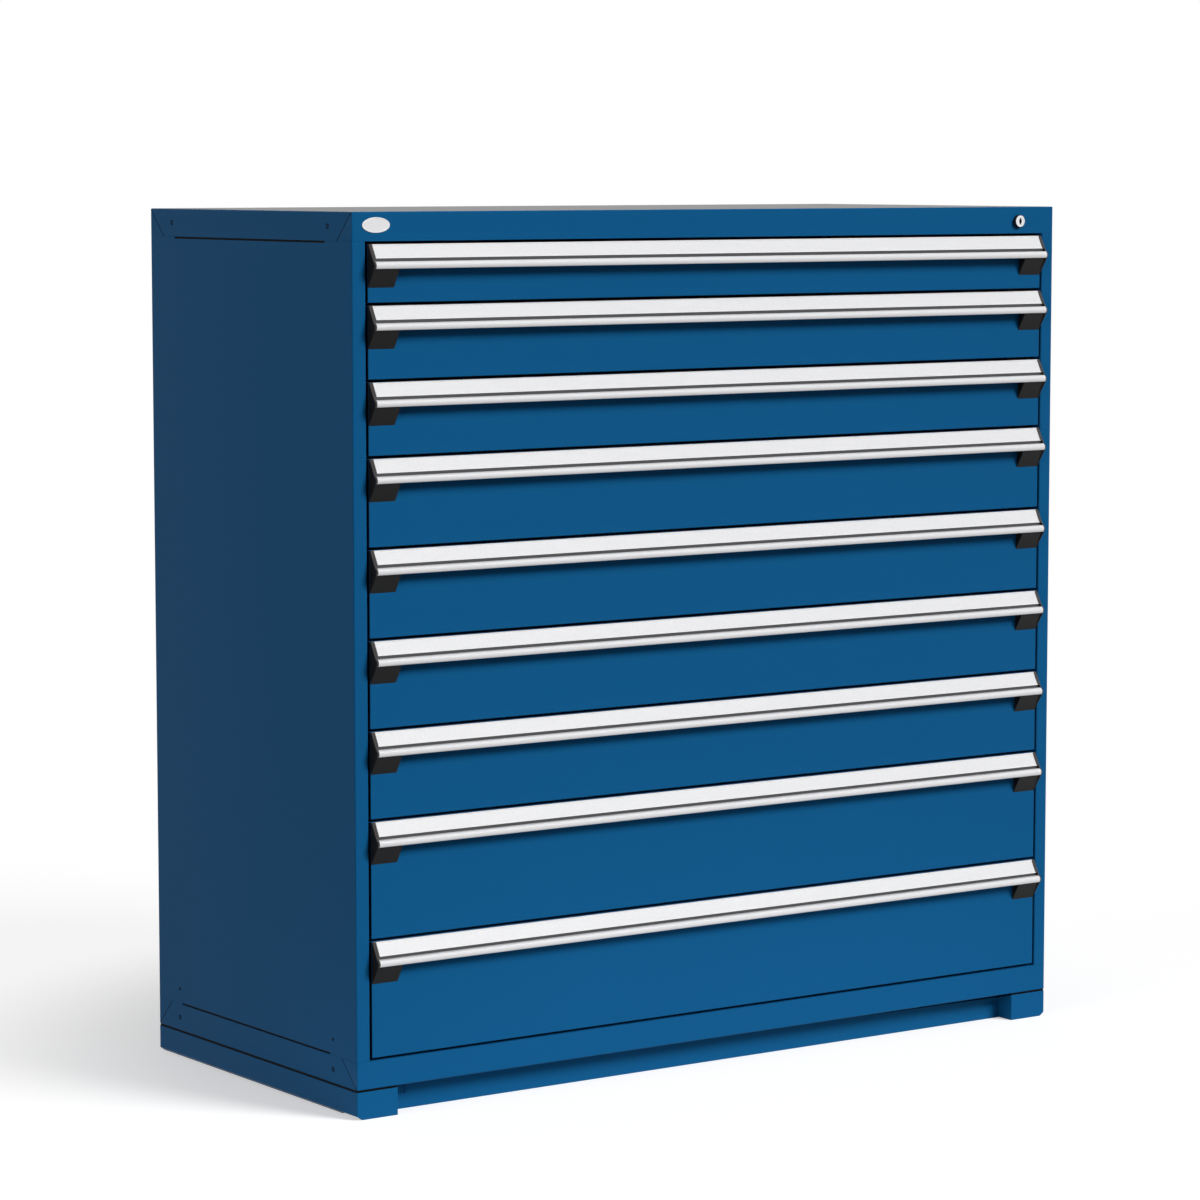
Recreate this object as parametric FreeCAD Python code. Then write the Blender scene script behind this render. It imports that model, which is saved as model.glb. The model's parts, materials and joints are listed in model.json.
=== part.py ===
"""Modular drawer cabinet with nine full-extension drawers, on a low base with a recessed kick plate.

Lengths are in millimetres. +X is to the right, the fronts face -Y and +Z is up. The origin is on the
floor, below the middle of the object's box. Pieces are drawn with y = 0 on the housing's front plane
and y growing towards the back, and are shifted to the frame when they are written.
"""
import FreeCAD, Part
import math
import os

from FreeCAD import Vector

# Overall sizes
WIDTH = 1524.0
DEPTH = 682.0
BASE_HEIGHT = 50.8
BOTTOM_RAIL = 48.0
TOP_RAIL = 48.8
DRAWER_PITCHES = (101.6, 127.0, 127.0, 152.4, 152.4, 152.4, 152.4, 203.2, 203.2)

# Housing sheet metal
SHEET = 1.5
OUTER_RADIUS = 2.0
STILE_WIDTH = 26.25
STILE_RETURN = 20.0
RAIL_RETURN = 16.0
SEAM = 0.4
MITRE_RUN = 39.5
MITRE_WIDTH = 0.9
MITRE_DEPTH = 0.5
BOTTOM_CHAMFER = 3.0
SLIT_HEIGHT = 3.1
SLIT_INSET = 86.0
BACK_LAP = 14.0
BACK_SIDE_GAP = 8.0

# Holes and screws in the sides
SIDE_HOLE_INSET = 76.7
SIDE_HOLE_RISE = 27.2
SIDE_HOLE_RADIUS = 3.0
SCREW_HEAD_RADIUS = 4.6
SCREW_HEAD_HEIGHT = 0.8
SCREW_SHANK_RADIUS = 2.5
SCREW_LENGTH = 9.0
SCREW_CLEARANCE = 0.1

# Base
BASE_SHEET = 2.5
BASE_SEAM = 3.3
BASE_FLANGE = 18.0
BASE_PAD_INSET = 14.0
BASE_PAD_WIDTH = 12.0
BASE_CHAMFER_RISE = 7.0
BASE_CHAMFER_RUN = 10.0
FOOT_WIDTH = 81.0
KICK_SETBACK = 36.0
KICK_SHEET = 1.5
KICK_NOTCH_WIDTH = 37.0
KICK_NOTCH_HEIGHT = 21.0

# Drawer fronts
FRONT_GAP = 4.8
SIDE_GAP = 4.25
FRONT_SHEET = 1.5
FRONT_RETURN = 18.0

# Drawer trays
TRAY_SHEET = 1.2
TRAY_DEPTH = 610.0
TRAY_LIFT = 6.0
TRAY_HEADROOM = 20.0
TRAY_RIM = 7.0

# Runners
RUNNER_PASS_GAP = 4.75
RUNNER_GAP = 0.5
RUNNER_SHEET = 1.6
RUNNER_HEIGHT = 32.0
RUNNER_AXIS_RISE = 22.0
CABINET_RUNNER_WIDTH = 11.5
CABINET_RUNNER_LENGTH = 612.0
CABINET_RUNNER_START = 30.0
DRAWER_RUNNER_WIDTH = 10.5
CARRIAGE_SHEET = 2.0
CARRIAGE_HEIGHT = 26.0
CARRIAGE_LENGTH = 600.0
ROLLER_WIDTH = 7.0
ROLLER_GAP = 0.3
ROLLER_PIN_RADIUS = 3.0
ROLLER_PIN_FIT = 0.08
ROLLER_SIDE_GAP = 0.7
ROLLER_END_INSET = 30.0
ROLLER_SPACING = 200.0

# Posts that carry the runners
UPRIGHT_WIDTH = 60.0
UPRIGHT_INSET = 42.0

# Handle, as outward and downward distances from the front's top edge
HANDLE_TOP_LEDGE = 3.0
LABEL_RUN = 12.5
LABEL_HEIGHT = 23.2
LIP_WIDTH = 1.6
LIP_HEIGHT = 0.7
HANDLE_WALL = 2.2
GROOVE_HEIGHT = 5.2
GROOVE_DEPTH = 3.0
NOSE_LEDGE = 19.0
NOSE_BULGE = 23.5
NOSE_BULGE_DROP = 36.0
NOSE_TIP = 21.0
NOSE_DROP = 40.4
HANDLE_FLANGE_DROP = 39.0

# Handle end caps
CAP_WALL = 4.5
CAP_RIM = 2.0
CAP_EDGE = 1.6
CAP_BLOCK_WIDTH = 51.0
CAP_BLOCK_DROP = 72.0
CAP_BLOCK_REACH = 18.6
CAP_FIT = 0.6

# Lock
LOCK_INSET = 85.0
LOCK_DROP = 26.3
LOCK_HEAD_RADIUS = 11.4
LOCK_HEAD_HEIGHT = 8.2
LOCK_HEAD_CHAMFER = 1.0
LOCK_BODY_RADIUS = 9.4
LOCK_BODY_LENGTH = 14.0
LOCK_HOLE_CLEARANCE = 0.1
PLUG_RADIUS = 7.0
PLUG_CLEARANCE = 0.05
PLUG_RECESS = 0.4
KEYHOLE_WIDTH = 2.6
KEYHOLE_HEIGHT = 9.0
KEYHOLE_DEPTH = 6.0
CAM_SHEET = 2.0
CAM_PIN_RADIUS = 1.5
CAM_PIN_LENGTH = 6.0
CAM_PIN_PLAY = 0.5
PLUG_TAIL = 2.0
LOCK_LIFT = 10.0
LOCK_TURN = 90.0

# Locking bar with one tongue for each drawer
BAR_GAP = 0.3
BAR_SHEET = 3.0
BAR_WIDTH = 16.0
BAR_EDGE_LAP = 1.2
BAR_ARM_HEIGHT = 14.0
TONGUE_REACH = 14.0
TONGUE_HEIGHT = 8.0
TONGUE_RISE = 1.5
CATCH_SHEET = 3.0
CATCH_HEIGHT = 6.0
CATCH_GAP = 0.6
CATCH_RISE = 1.5
CATCH_REACH = 14.0

# Plain oval plate on the fascia
BADGE_WIDTH = 54.0
BADGE_HEIGHT = 26.0
BADGE_SHEET = 1.5
BADGE_INSET = 46.5
BADGE_DROP = 22.0

# Places that follow from the sizes
HALF = WIDTH / 2
OPENING_HALF = HALF - STILE_WIDTH
OPENING_BOTTOM = BASE_HEIGHT + BOTTOM_RAIL
OPENING_TOP = OPENING_BOTTOM + FRONT_GAP + sum(DRAWER_PITCHES)
HEIGHT = OPENING_TOP + TOP_RAIL
FRONT_HALF = OPENING_HALF - SIDE_GAP
FRONT_PLANE = (NOSE_BULGE - DEPTH) / 2
BASE_TOP = BASE_HEIGHT - BASE_SEAM
FOOT_INNER = HALF - FOOT_WIDTH

TRAY_FRONT = FRONT_RETURN
TRAY_BACK = TRAY_FRONT + TRAY_DEPTH
APRON_BACK = TRAY_FRONT + TRAY_SHEET
CARRIAGE_OUTER = OPENING_HALF - RUNNER_PASS_GAP
CARRIAGE_INNER = CARRIAGE_OUTER - CARRIAGE_SHEET
CABINET_RUNNER_INNER = CARRIAGE_OUTER + RUNNER_GAP
UPRIGHT_INNER = CABINET_RUNNER_INNER + CABINET_RUNNER_WIDTH
DRAWER_RUNNER_OUTER = CARRIAGE_INNER - RUNNER_GAP
TRAY_HALF = DRAWER_RUNNER_OUTER - DRAWER_RUNNER_WIDTH
ROLLER_RADIUS = RUNNER_HEIGHT / 2 - RUNNER_SHEET - ROLLER_GAP
CARRIAGE_START = CABINET_RUNNER_START
CARRIAGE_END = CARRIAGE_START + CARRIAGE_LENGTH

LOCK_X = HALF - LOCK_INSET
LOCK_Z = HEIGHT - LOCK_DROP
CRANK = LOCK_LIFT / (2 * math.sin(math.radians(LOCK_TURN / 2)))
CAM_START = LOCK_BODY_LENGTH + PLUG_TAIL
BAR_FRONT = STILE_RETURN + BAR_GAP
BAR_INNER = OPENING_HALF + SHEET - BAR_EDGE_LAP
CATCH_FRONT = BAR_FRONT + BAR_SHEET + CATCH_GAP

PAST = 5.0


def block(x0, x1, y0, y1, z0, z1):
    """A box between two corners."""
    return Part.makeBox(x1 - x0, y1 - y0, z1 - z0, Vector(x0, y0, z0))


def along_y(radius, x, z, y0, y1):
    """A round bar that runs from front to back."""
    return Part.makeCylinder(radius, y1 - y0, Vector(x, y0, z), Vector(0, 1, 0))


def along_x(radius, y, z, x0, x1):
    """A round bar that runs from left to right."""
    return Part.makeCylinder(radius, x1 - x0, Vector(x0, y, z), Vector(1, 0, 0))


def mirrored(shape):
    """The same piece on the other side of the middle plane."""
    return shape.mirror(Vector(0, 0, 0), Vector(1, 0, 0))


def pair(shape):
    """A piece and its mirror image."""
    return Part.makeCompound([shape, mirrored(shape)])


def one_solid(pieces):
    """Joins touching pieces into one solid with clean faces."""
    return pieces[0].fuse(pieces[1:]).removeSplitter()


def upright_edges(shape, x, y):
    """The vertical edges of a shape at one corner of its plan."""
    found = []
    for edge in shape.Edges:
        ends = [vertex.Point for vertex in edge.Vertexes]
        if all(abs(p.x - x) < SEAM and abs(p.y - y) < SEAM for p in ends):
            found.append(edge)
    return found


def prism(points, direction):
    """A closed polygon of points, drawn out along a direction."""
    wire = Part.makePolygon(points + points[:1])
    return Part.Face(wire).extrude(direction)


def floor_levels():
    """The lower edge of each drawer's front, from the top drawer down."""
    levels = []
    edge = OPENING_TOP
    for pitch in DRAWER_PITCHES:
        edge -= pitch
        levels.append(edge)
    return levels


def runner_axis(front_bottom):
    """The height of a drawer's rollers above the floor."""
    return front_bottom + TRAY_LIFT + RUNNER_AXIS_RISE


# Housing

def pan_shell(low, high, skin_low, skin_high):
    """A shallow open box of sheet: one skin with four flanges, its outer corners rounded."""
    shell = block(-HALF, HALF, 0, DEPTH, low, high)
    corners = []
    for x in (-HALF, HALF):
        for y in (0, DEPTH):
            corners += upright_edges(shell, x, y)
    shell = shell.makeFillet(OUTER_RADIUS, corners)
    inside_low = low - PAST if skin_high == high else skin_high
    inside_high = skin_low if skin_high == high else high + PAST
    inside = block(-HALF + SHEET, HALF - SHEET, SHEET, DEPTH - SHEET, inside_low, inside_high)
    return shell.cut(inside)


def mitre_grooves(corner_z, edge_z):
    """The fine lines on both sides where a pan's flanges meet at the corners."""
    rise = edge_z - corner_z
    slant = math.hypot(MITRE_RUN, rise)
    half_y = MITRE_WIDTH / 2 * abs(rise) / slant
    half_z = MITRE_WIDTH / 2 * MITRE_RUN / slant * math.copysign(1, rise)
    grooves = []
    for y, way in ((0, 1), (DEPTH, -1)):
        x = HALF - MITRE_DEPTH
        line = [
            Vector(x, y - way * half_y, corner_z + half_z),
            Vector(x, y + way * half_y, corner_z - half_z),
            Vector(x, y + way * (MITRE_RUN + half_y), edge_z - half_z),
            Vector(x, y + way * (MITRE_RUN - half_y), edge_z + half_z),
        ]
        groove = prism(line, Vector(MITRE_DEPTH + PAST, 0, 0))
        grooves += [groove, mirrored(groove)]
    return grooves


def screw_places():
    """The y and z of each screw in the side flanges."""
    places = []
    for y in (SIDE_HOLE_INSET, DEPTH - SIDE_HOLE_INSET):
        places.append((y, HEIGHT - TOP_RAIL / 2))
        places.append((y, BASE_HEIGHT + BOTTOM_RAIL / 2))
    return places


def screw_seats():
    """The stepped holes that the side screws sit in, on both sides."""
    seats = []
    for y, z in screw_places():
        head = SCREW_HEAD_RADIUS + SCREW_CLEARANCE
        shank = SCREW_SHANK_RADIUS + SCREW_CLEARANCE
        seat = along_x(head, y, z, HALF - SCREW_HEAD_HEIGHT, HALF + PAST)
        seat = seat.fuse(along_x(shank, y, z, HALF - SHEET - PAST, HALF + PAST))
        seats += [seat, mirrored(seat)]
    return seats


def side_screws():
    """Flush screws in the side flanges."""
    screws = []
    for y, z in screw_places():
        head = along_x(SCREW_HEAD_RADIUS, y, z, HALF - SCREW_HEAD_HEIGHT, HALF)
        shank = along_x(SCREW_SHANK_RADIUS, y, z, HALF - SCREW_LENGTH, HALF - SCREW_HEAD_HEIGHT)
        screw = one_solid([head, shank])
        screws += [screw, mirrored(screw)]
    return Part.makeCompound(screws)


def top_pan():
    """The top sheet with the fascia, side and back flanges folded down."""
    shell = pan_shell(OPENING_TOP, HEIGHT, HEIGHT - SHEET, HEIGHT)
    lip = block(-HALF + SHEET, HALF - SHEET, 0, RAIL_RETURN, OPENING_TOP, OPENING_TOP + SHEET)
    pan = one_solid([shell, lip])
    hole = LOCK_BODY_RADIUS + LOCK_HOLE_CLEARANCE
    cuts = mitre_grooves(HEIGHT, OPENING_TOP) + screw_seats()
    cuts.append(along_y(hole, LOCK_X, LOCK_Z, -PAST, SHEET + PAST))
    return pan.cut(cuts)


def bottom_pan():
    """The bottom sheet with the lower rail, side and back flanges folded up."""
    shell = pan_shell(BASE_HEIGHT, OPENING_BOTTOM, BASE_HEIGHT, BASE_HEIGHT + SHEET)
    lip = block(-HALF + SHEET, HALF - SHEET, 0, RAIL_RETURN, OPENING_BOTTOM - SHEET, OPENING_BOTTOM)
    pan = one_solid([shell, lip])
    cuts = mitre_grooves(BASE_HEIGHT, OPENING_BOTTOM) + screw_seats()
    for corner in bottom_corner_cuts(BASE_HEIGHT, BOTTOM_CHAMFER, BOTTOM_CHAMFER):
        cuts.append(corner)
    return pan.cut(cuts)


def bottom_corner_cuts(z, run, rise):
    """Wedges that take off the lower left and right edges of a box in front view."""
    points = [
        Vector(HALF - run, -PAST, z),
        Vector(HALF, -PAST, z + rise),
        Vector(HALF + PAST, -PAST, z + rise),
        Vector(HALF + PAST, -PAST, z - PAST),
        Vector(HALF - run, -PAST, z - PAST),
    ]
    wedge = prism(points, Vector(0, DEPTH + 2 * PAST, 0))
    return [wedge, mirrored(wedge)]


def right_side_panel():
    """The side skin, folded round into the front stile and the back flange."""
    low = OPENING_BOTTOM + SEAM
    high = OPENING_TOP - SEAM
    inner = HALF - SHEET
    folds = [
        block(inner, HALF, 0, DEPTH, low, high),
        block(OPENING_HALF, HALF, 0, SHEET, low, high),
        block(OPENING_HALF, OPENING_HALF + SHEET, 0, STILE_RETURN, low, high),
        block(OPENING_HALF, HALF, DEPTH - SHEET, DEPTH, low, high),
    ]
    panel = one_solid(folds)
    corners = upright_edges(panel, HALF, 0) + upright_edges(panel, HALF, DEPTH)
    panel = panel.makeFillet(OUTER_RADIUS, corners)
    cuts = []
    for slit_low, slit_high in ((low - PAST, low + SLIT_HEIGHT), (high - SLIT_HEIGHT, high + PAST)):
        cuts.append(block(inner - PAST, HALF + PAST, SLIT_INSET, DEPTH - SLIT_INSET, slit_low, slit_high))
    for y in (SIDE_HOLE_INSET, DEPTH - SIDE_HOLE_INSET):
        cuts.append(along_x(SIDE_HOLE_RADIUS, y, OPENING_BOTTOM + SIDE_HOLE_RISE, inner - PAST, HALF + PAST))
    return panel.cut(cuts)


def back_panel():
    """The flat back, lapped inside the flanges of the sides and the pans."""
    half = HALF - SHEET - BACK_SIDE_GAP
    front = DEPTH - 2 * SHEET
    return block(-half, half, front, DEPTH - SHEET, OPENING_BOTTOM - BACK_LAP, OPENING_TOP + BACK_LAP)


def runner_uprights():
    """Four channel posts between the pans, against the side skins."""
    low = BASE_HEIGHT + SHEET
    high = HEIGHT - SHEET
    posts = []
    for y in (UPRIGHT_INSET, DEPTH - UPRIGHT_INSET - UPRIGHT_WIDTH):
        outer = block(UPRIGHT_INNER, HALF - SHEET, y, y + UPRIGHT_WIDTH, low, high)
        inside = y + SHEET
        inside_end = y + UPRIGHT_WIDTH - SHEET
        hollow = block(UPRIGHT_INNER + SHEET, HALF, inside, inside_end, low - PAST, high + PAST)
        post = outer.cut(hollow)
        posts += [post, mirrored(post)]
    return Part.makeCompound(posts)


# Base

def base_frame():
    """The skirt with two front feet, its flanges, and the raised strips that carry the housing."""
    wall = HALF - BASE_SHEET
    back = DEPTH - BASE_SHEET
    kick_back = KICK_SETBACK + KICK_SHEET
    cross_back = kick_back + BASE_PAD_INSET + BASE_PAD_WIDTH
    pad_outer = HALF - BASE_PAD_INSET
    pad_inner = pad_outer - BASE_PAD_WIDTH
    pad_back = DEPTH - BASE_PAD_INSET
    rim = wall - BASE_PAD_INSET - BASE_PAD_WIDTH
    pieces = [
        block(-HALF, HALF, back, DEPTH, 0, BASE_TOP),
        block(-HALF, HALF, back - BASE_FLANGE, back, 0, BASE_SHEET),
        block(-HALF, HALF, pad_back - BASE_PAD_WIDTH, back, BASE_TOP - BASE_SHEET, BASE_TOP),
        block(-pad_outer, pad_outer, pad_back - BASE_PAD_WIDTH, pad_back, BASE_TOP, BASE_HEIGHT),
        block(-HALF, HALF, kick_back, cross_back, BASE_TOP - BASE_SHEET, BASE_TOP),
        block(-HALF, HALF, kick_back, kick_back + BASE_SHEET, BASE_TOP / 2, BASE_TOP),
        block(-pad_outer, pad_outer, kick_back + BASE_PAD_INSET, cross_back, BASE_TOP, BASE_HEIGHT),
    ]
    half_pieces = [
        block(wall, HALF, 0, DEPTH, 0, BASE_TOP),
        block(wall - BASE_FLANGE, wall, cross_back, back, 0, BASE_SHEET),
        block(rim, wall, 0, back, BASE_TOP - BASE_SHEET, BASE_TOP),
        block(pad_inner, pad_outer, kick_back + BASE_PAD_INSET, pad_back, BASE_TOP, BASE_HEIGHT),
        block(FOOT_INNER, HALF, 0, BASE_SHEET, 0, BASE_TOP),
        block(FOOT_INNER, FOOT_INNER + BASE_SHEET, 0, kick_back, 0, BASE_TOP),
    ]
    for piece in half_pieces:
        pieces += [piece, mirrored(piece)]
    base = one_solid(pieces)
    corners = []
    for x in (-HALF, HALF):
        for y in (0, DEPTH):
            corners += upright_edges(base, x, y)
    base = base.makeFillet(OUTER_RADIUS, corners)
    return base.cut(bottom_corner_cuts(0, BASE_CHAMFER_RUN, BASE_CHAMFER_RISE))


def kick_plate():
    """The recessed plate between the feet, notched at its upper corners."""
    plate = block(-FOOT_INNER, FOOT_INNER, KICK_SETBACK, KICK_SETBACK + KICK_SHEET, 0, BASE_TOP)
    notch_inner = FOOT_INNER - KICK_NOTCH_WIDTH
    notch_low = BASE_TOP - KICK_NOTCH_HEIGHT
    notch = block(notch_inner, FOOT_INNER + PAST, 0, DEPTH, notch_low, BASE_TOP + PAST)
    return plate.cut([notch, mirrored(notch)])


# Runners

def channel(x_web, x_tip, y0, y1, z):
    """A C-shaped runner with its web at one x and its flange tips at the other."""
    low = z - RUNNER_HEIGHT / 2
    high = z + RUNNER_HEIGHT / 2
    way = math.copysign(1, x_tip - x_web)
    outer_left, outer_right = sorted((x_web, x_tip))
    outer = block(outer_left, outer_right, y0, y1, low, high)
    left, right = sorted((x_web + way * RUNNER_SHEET, x_tip + way * PAST))
    hollow = block(left, right, y0 - PAST, y1 + PAST, low + RUNNER_SHEET, high - RUNNER_SHEET)
    return outer.cut(hollow)


def cabinet_runners():
    """The fixed runners of every drawer, open towards the middle."""
    runners = []
    end = CABINET_RUNNER_START + CABINET_RUNNER_LENGTH
    for level in floor_levels():
        runner = channel(UPRIGHT_INNER, CABINET_RUNNER_INNER, CABINET_RUNNER_START, end, runner_axis(level))
        runners += [runner, mirrored(runner)]
    return Part.makeCompound(runners)


def roller(x0, x1, y, z):
    """A roller with its bore."""
    wheel = along_x(ROLLER_RADIUS, y, z, x0, x1)
    return wheel.cut(along_x(ROLLER_PIN_RADIUS + ROLLER_PIN_FIT, y, z, x0 - PAST, x1 + PAST))


def carriages(level):
    """The pair of intermediate runners of one drawer: a beam, its pins, and rollers that face both ways."""
    z = runner_axis(level)
    low = z - CARRIAGE_HEIGHT / 2
    high = z + CARRIAGE_HEIGHT / 2
    solids = [block(CARRIAGE_INNER, CARRIAGE_OUTER, CARRIAGE_START, CARRIAGE_END, low, high)]
    for step in (0, 1):
        back = CARRIAGE_END - ROLLER_END_INSET - step * ROLLER_SPACING
        start = CARRIAGE_OUTER + ROLLER_SIDE_GAP
        solids.append(along_x(ROLLER_PIN_RADIUS, back, z, CARRIAGE_OUTER, start + ROLLER_WIDTH))
        solids.append(roller(start, start + ROLLER_WIDTH, back, z))
        front = CARRIAGE_START + ROLLER_END_INSET + step * ROLLER_SPACING
        end = CARRIAGE_INNER - ROLLER_SIDE_GAP
        solids.append(along_x(ROLLER_PIN_RADIUS, front, z, end - ROLLER_WIDTH, CARRIAGE_INNER))
        solids.append(roller(end - ROLLER_WIDTH, end, front, z))
    return Part.makeCompound(solids + [mirrored(solid) for solid in solids])


# Drawers

def tray_height(pitch):
    """The height of a tray's walls in a drawer of one pitch."""
    return pitch - FRONT_GAP - TRAY_LIFT - TRAY_HEADROOM


def drawer_tray(level, pitch):
    """The open tray with its rim, the apron that carries the front, its lock catch and its two runners."""
    low = level + TRAY_LIFT
    high = low + tray_height(pitch)
    outer = block(-TRAY_HALF, TRAY_HALF, APRON_BACK, TRAY_BACK, low, high)
    inner = TRAY_HALF - TRAY_SHEET
    front = APRON_BACK + TRAY_SHEET
    back = TRAY_BACK - TRAY_SHEET
    hollow = block(-inner, inner, front, back, low + TRAY_SHEET, high - TRAY_SHEET)
    rim = inner - TRAY_RIM
    mouth = block(-rim, rim, front + TRAY_RIM, back - TRAY_RIM, high - PAST, high + PAST)
    tray = outer.cut([hollow, mouth])
    apron = block(-FRONT_HALF, FRONT_HALF, TRAY_FRONT, APRON_BACK, level, high)
    catch_low = runner_axis(level) + RUNNER_HEIGHT / 2 + TONGUE_RISE + TONGUE_HEIGHT + CATCH_RISE
    catch_high = catch_low + CATCH_HEIGHT
    catch_back = CATCH_FRONT + CATCH_SHEET
    catch = block(TRAY_HALF, TRAY_HALF + CATCH_REACH, CATCH_FRONT, catch_back, catch_low, catch_high)
    runner = channel(TRAY_HALF, DRAWER_RUNNER_OUTER, APRON_BACK, TRAY_BACK, runner_axis(level))
    return Part.makeCompound([tray, apron, catch, runner, mirrored(runner)])


def drawer_front(level, pitch):
    """The front panel, folded back on all four edges."""
    high = level + pitch - FRONT_GAP
    outer = block(-FRONT_HALF, FRONT_HALF, 0, FRONT_RETURN, level, high)
    corners = [edge for edge in outer.Edges if all(abs(vertex.Y) < SEAM for vertex in edge.Vertexes)]
    outer = outer.makeFillet(FRONT_SHEET, corners)
    inner = FRONT_HALF - FRONT_SHEET
    return outer.cut(
        block(-inner, inner, FRONT_SHEET, FRONT_RETURN + PAST, level + FRONT_SHEET, high - FRONT_SHEET)
    )


def handle_outline():
    """The handle's section as (outward, down) points, with the nose's two arcs as three points each."""
    slope = math.hypot(LABEL_RUN, LABEL_HEIGHT)
    along_u = LABEL_RUN / slope
    along_v = LABEL_HEIGHT / slope
    edge_u = HANDLE_TOP_LEDGE + LABEL_RUN

    def on_face(distance, proud):
        u = HANDLE_TOP_LEDGE + distance * along_u + proud * along_v
        v = distance * along_v - proud * along_u
        return (u, v)

    groove_u = edge_u - GROOVE_DEPTH
    groove_end = LABEL_HEIGHT + GROOVE_HEIGHT
    wall_u = groove_u - HANDLE_WALL
    inner_bulge = NOSE_BULGE - HANDLE_WALL
    inner_top = groove_end + HANDLE_WALL
    face_inner = on_face(slope - HANDLE_WALL, -HANDLE_WALL)
    face_top = on_face(HANDLE_WALL * along_v / along_u, -HANDLE_WALL)
    return [
        ("line", (0, 0)),
        ("line", (HANDLE_TOP_LEDGE, 0)),
        ("line", on_face(LIP_WIDTH, 0)),
        ("line", on_face(LIP_WIDTH, -LIP_HEIGHT)),
        ("line", on_face(slope - LIP_WIDTH, -LIP_HEIGHT)),
        ("line", on_face(slope - LIP_WIDTH, 0)),
        ("line", (edge_u, LABEL_HEIGHT)),
        ("line", (groove_u, LABEL_HEIGHT)),
        ("line", (groove_u, groove_end)),
        ("line", (NOSE_LEDGE, groove_end)),
        ("arc", (NOSE_BULGE, NOSE_BULGE_DROP), (NOSE_TIP, NOSE_DROP)),
        ("line", (NOSE_TIP - HANDLE_WALL, NOSE_DROP)),
        ("arc", (inner_bulge, NOSE_BULGE_DROP), (NOSE_LEDGE - HANDLE_WALL, inner_top)),
        ("line", (wall_u, inner_top)),
        ("line", (wall_u, face_inner[1])),
        ("line", face_top),
        ("line", (HANDLE_WALL, HANDLE_FLANGE_DROP)),
        ("line", (0, HANDLE_FLANGE_DROP)),
    ]


def outline_face(outline, x, top):
    """A flat face from an outline of lines and arcs, in the plane across one x."""
    def place(point):
        return Vector(x, -point[0], top - point[1])

    edges = []
    start = place(outline[0][1])
    for step in outline[1:] + outline[:1]:
        end = place(step[-1])
        if step[0] == "arc":
            edges.append(Part.Arc(start, place(step[1]), end).toShape())
        else:
            edges.append(Part.LineSegment(start, end).toShape())
        start = end
    return Part.Face(Part.Wire(edges))


def drawer_handle(top):
    """The extruded handle rail between its end caps."""
    half = FRONT_HALF - CAP_WALL
    return outline_face(handle_outline(), -half, top).extrude(Vector(2 * half, 0, 0))


def cap_outline(edge):
    """The end cap's outline, drawn in from the handle's own by an edge width, without the back."""
    face_u = HANDLE_TOP_LEDGE + LABEL_RUN
    groove_end = LABEL_HEIGHT + GROOVE_HEIGHT
    nose_edge = 2 * edge
    return [
        (0, edge),
        (HANDLE_TOP_LEDGE - edge, edge),
        (face_u - edge, LABEL_HEIGHT + edge / 2),
        (NOSE_LEDGE - nose_edge / 2, groove_end + edge / 2),
        (NOSE_BULGE - nose_edge, NOSE_BULGE_DROP - edge),
        (NOSE_TIP - nose_edge / 2, NOSE_DROP + CAP_FIT),
        (0, CAP_BLOCK_DROP - edge),
    ]


def end_caps(top):
    """The two plastic caps: an end wall with a bevelled rim, and a wedge below the nose."""
    def wire(edge, x):
        points = [Vector(x, -u, top - v) for u, v in cap_outline(edge)]
        return Part.makePolygon(points + points[:1])

    inner = FRONT_HALF - CAP_WALL
    rim = FRONT_HALF - CAP_RIM
    wall = Part.Face(wire(0, inner)).extrude(Vector(rim - inner, 0, 0))
    bevel = Part.makeLoft([wire(0, rim), wire(CAP_EDGE, FRONT_HALF)], True, True)
    block_top = top - NOSE_DROP - CAP_FIT
    start = FRONT_HALF - CAP_BLOCK_WIDTH
    wedge_points = [
        Vector(start, 0, block_top),
        Vector(start, -CAP_BLOCK_REACH, block_top),
        Vector(start, 0, top - CAP_BLOCK_DROP),
    ]
    wedge = prism(wedge_points, Vector(inner - start, 0, 0))
    return pair(one_solid([wall, bevel, wedge]))


# Lock

def lock_barrel():
    """The lock's case: a round head in front of the fascia and a body through it."""
    head = along_y(LOCK_HEAD_RADIUS, LOCK_X, LOCK_Z, -LOCK_HEAD_HEIGHT, 0)
    rim = [edge for edge in head.Edges if edge.Closed and edge.BoundBox.YMax < -SEAM]
    head = head.makeChamfer(LOCK_HEAD_CHAMFER, rim)
    body = along_y(LOCK_BODY_RADIUS, LOCK_X, LOCK_Z, 0, LOCK_BODY_LENGTH)
    bore_radius = PLUG_RADIUS + PLUG_CLEARANCE
    bore = along_y(bore_radius, LOCK_X, LOCK_Z, -LOCK_HEAD_HEIGHT - PAST, LOCK_BODY_LENGTH + PAST)
    return one_solid([head, body]).cut(bore)


def lock_plug():
    """The part of the lock that turns, with its keyhole."""
    front = -LOCK_HEAD_HEIGHT + PLUG_RECESS
    plug = along_y(PLUG_RADIUS, LOCK_X, LOCK_Z, front, CAM_START)
    keyhole = block(
        LOCK_X - KEYHOLE_WIDTH / 2,
        LOCK_X + KEYHOLE_WIDTH / 2,
        front - PAST,
        front + KEYHOLE_DEPTH,
        LOCK_Z - KEYHOLE_HEIGHT / 2,
        LOCK_Z + KEYHOLE_HEIGHT / 2,
    )
    return plug.cut(keyhole)


def crank_place():
    """Where the cam's pin stands when the lock is open."""
    turn = math.radians(LOCK_TURN / 2)
    return LOCK_X + CRANK * math.cos(turn), LOCK_Z - CRANK * math.sin(turn)


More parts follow.
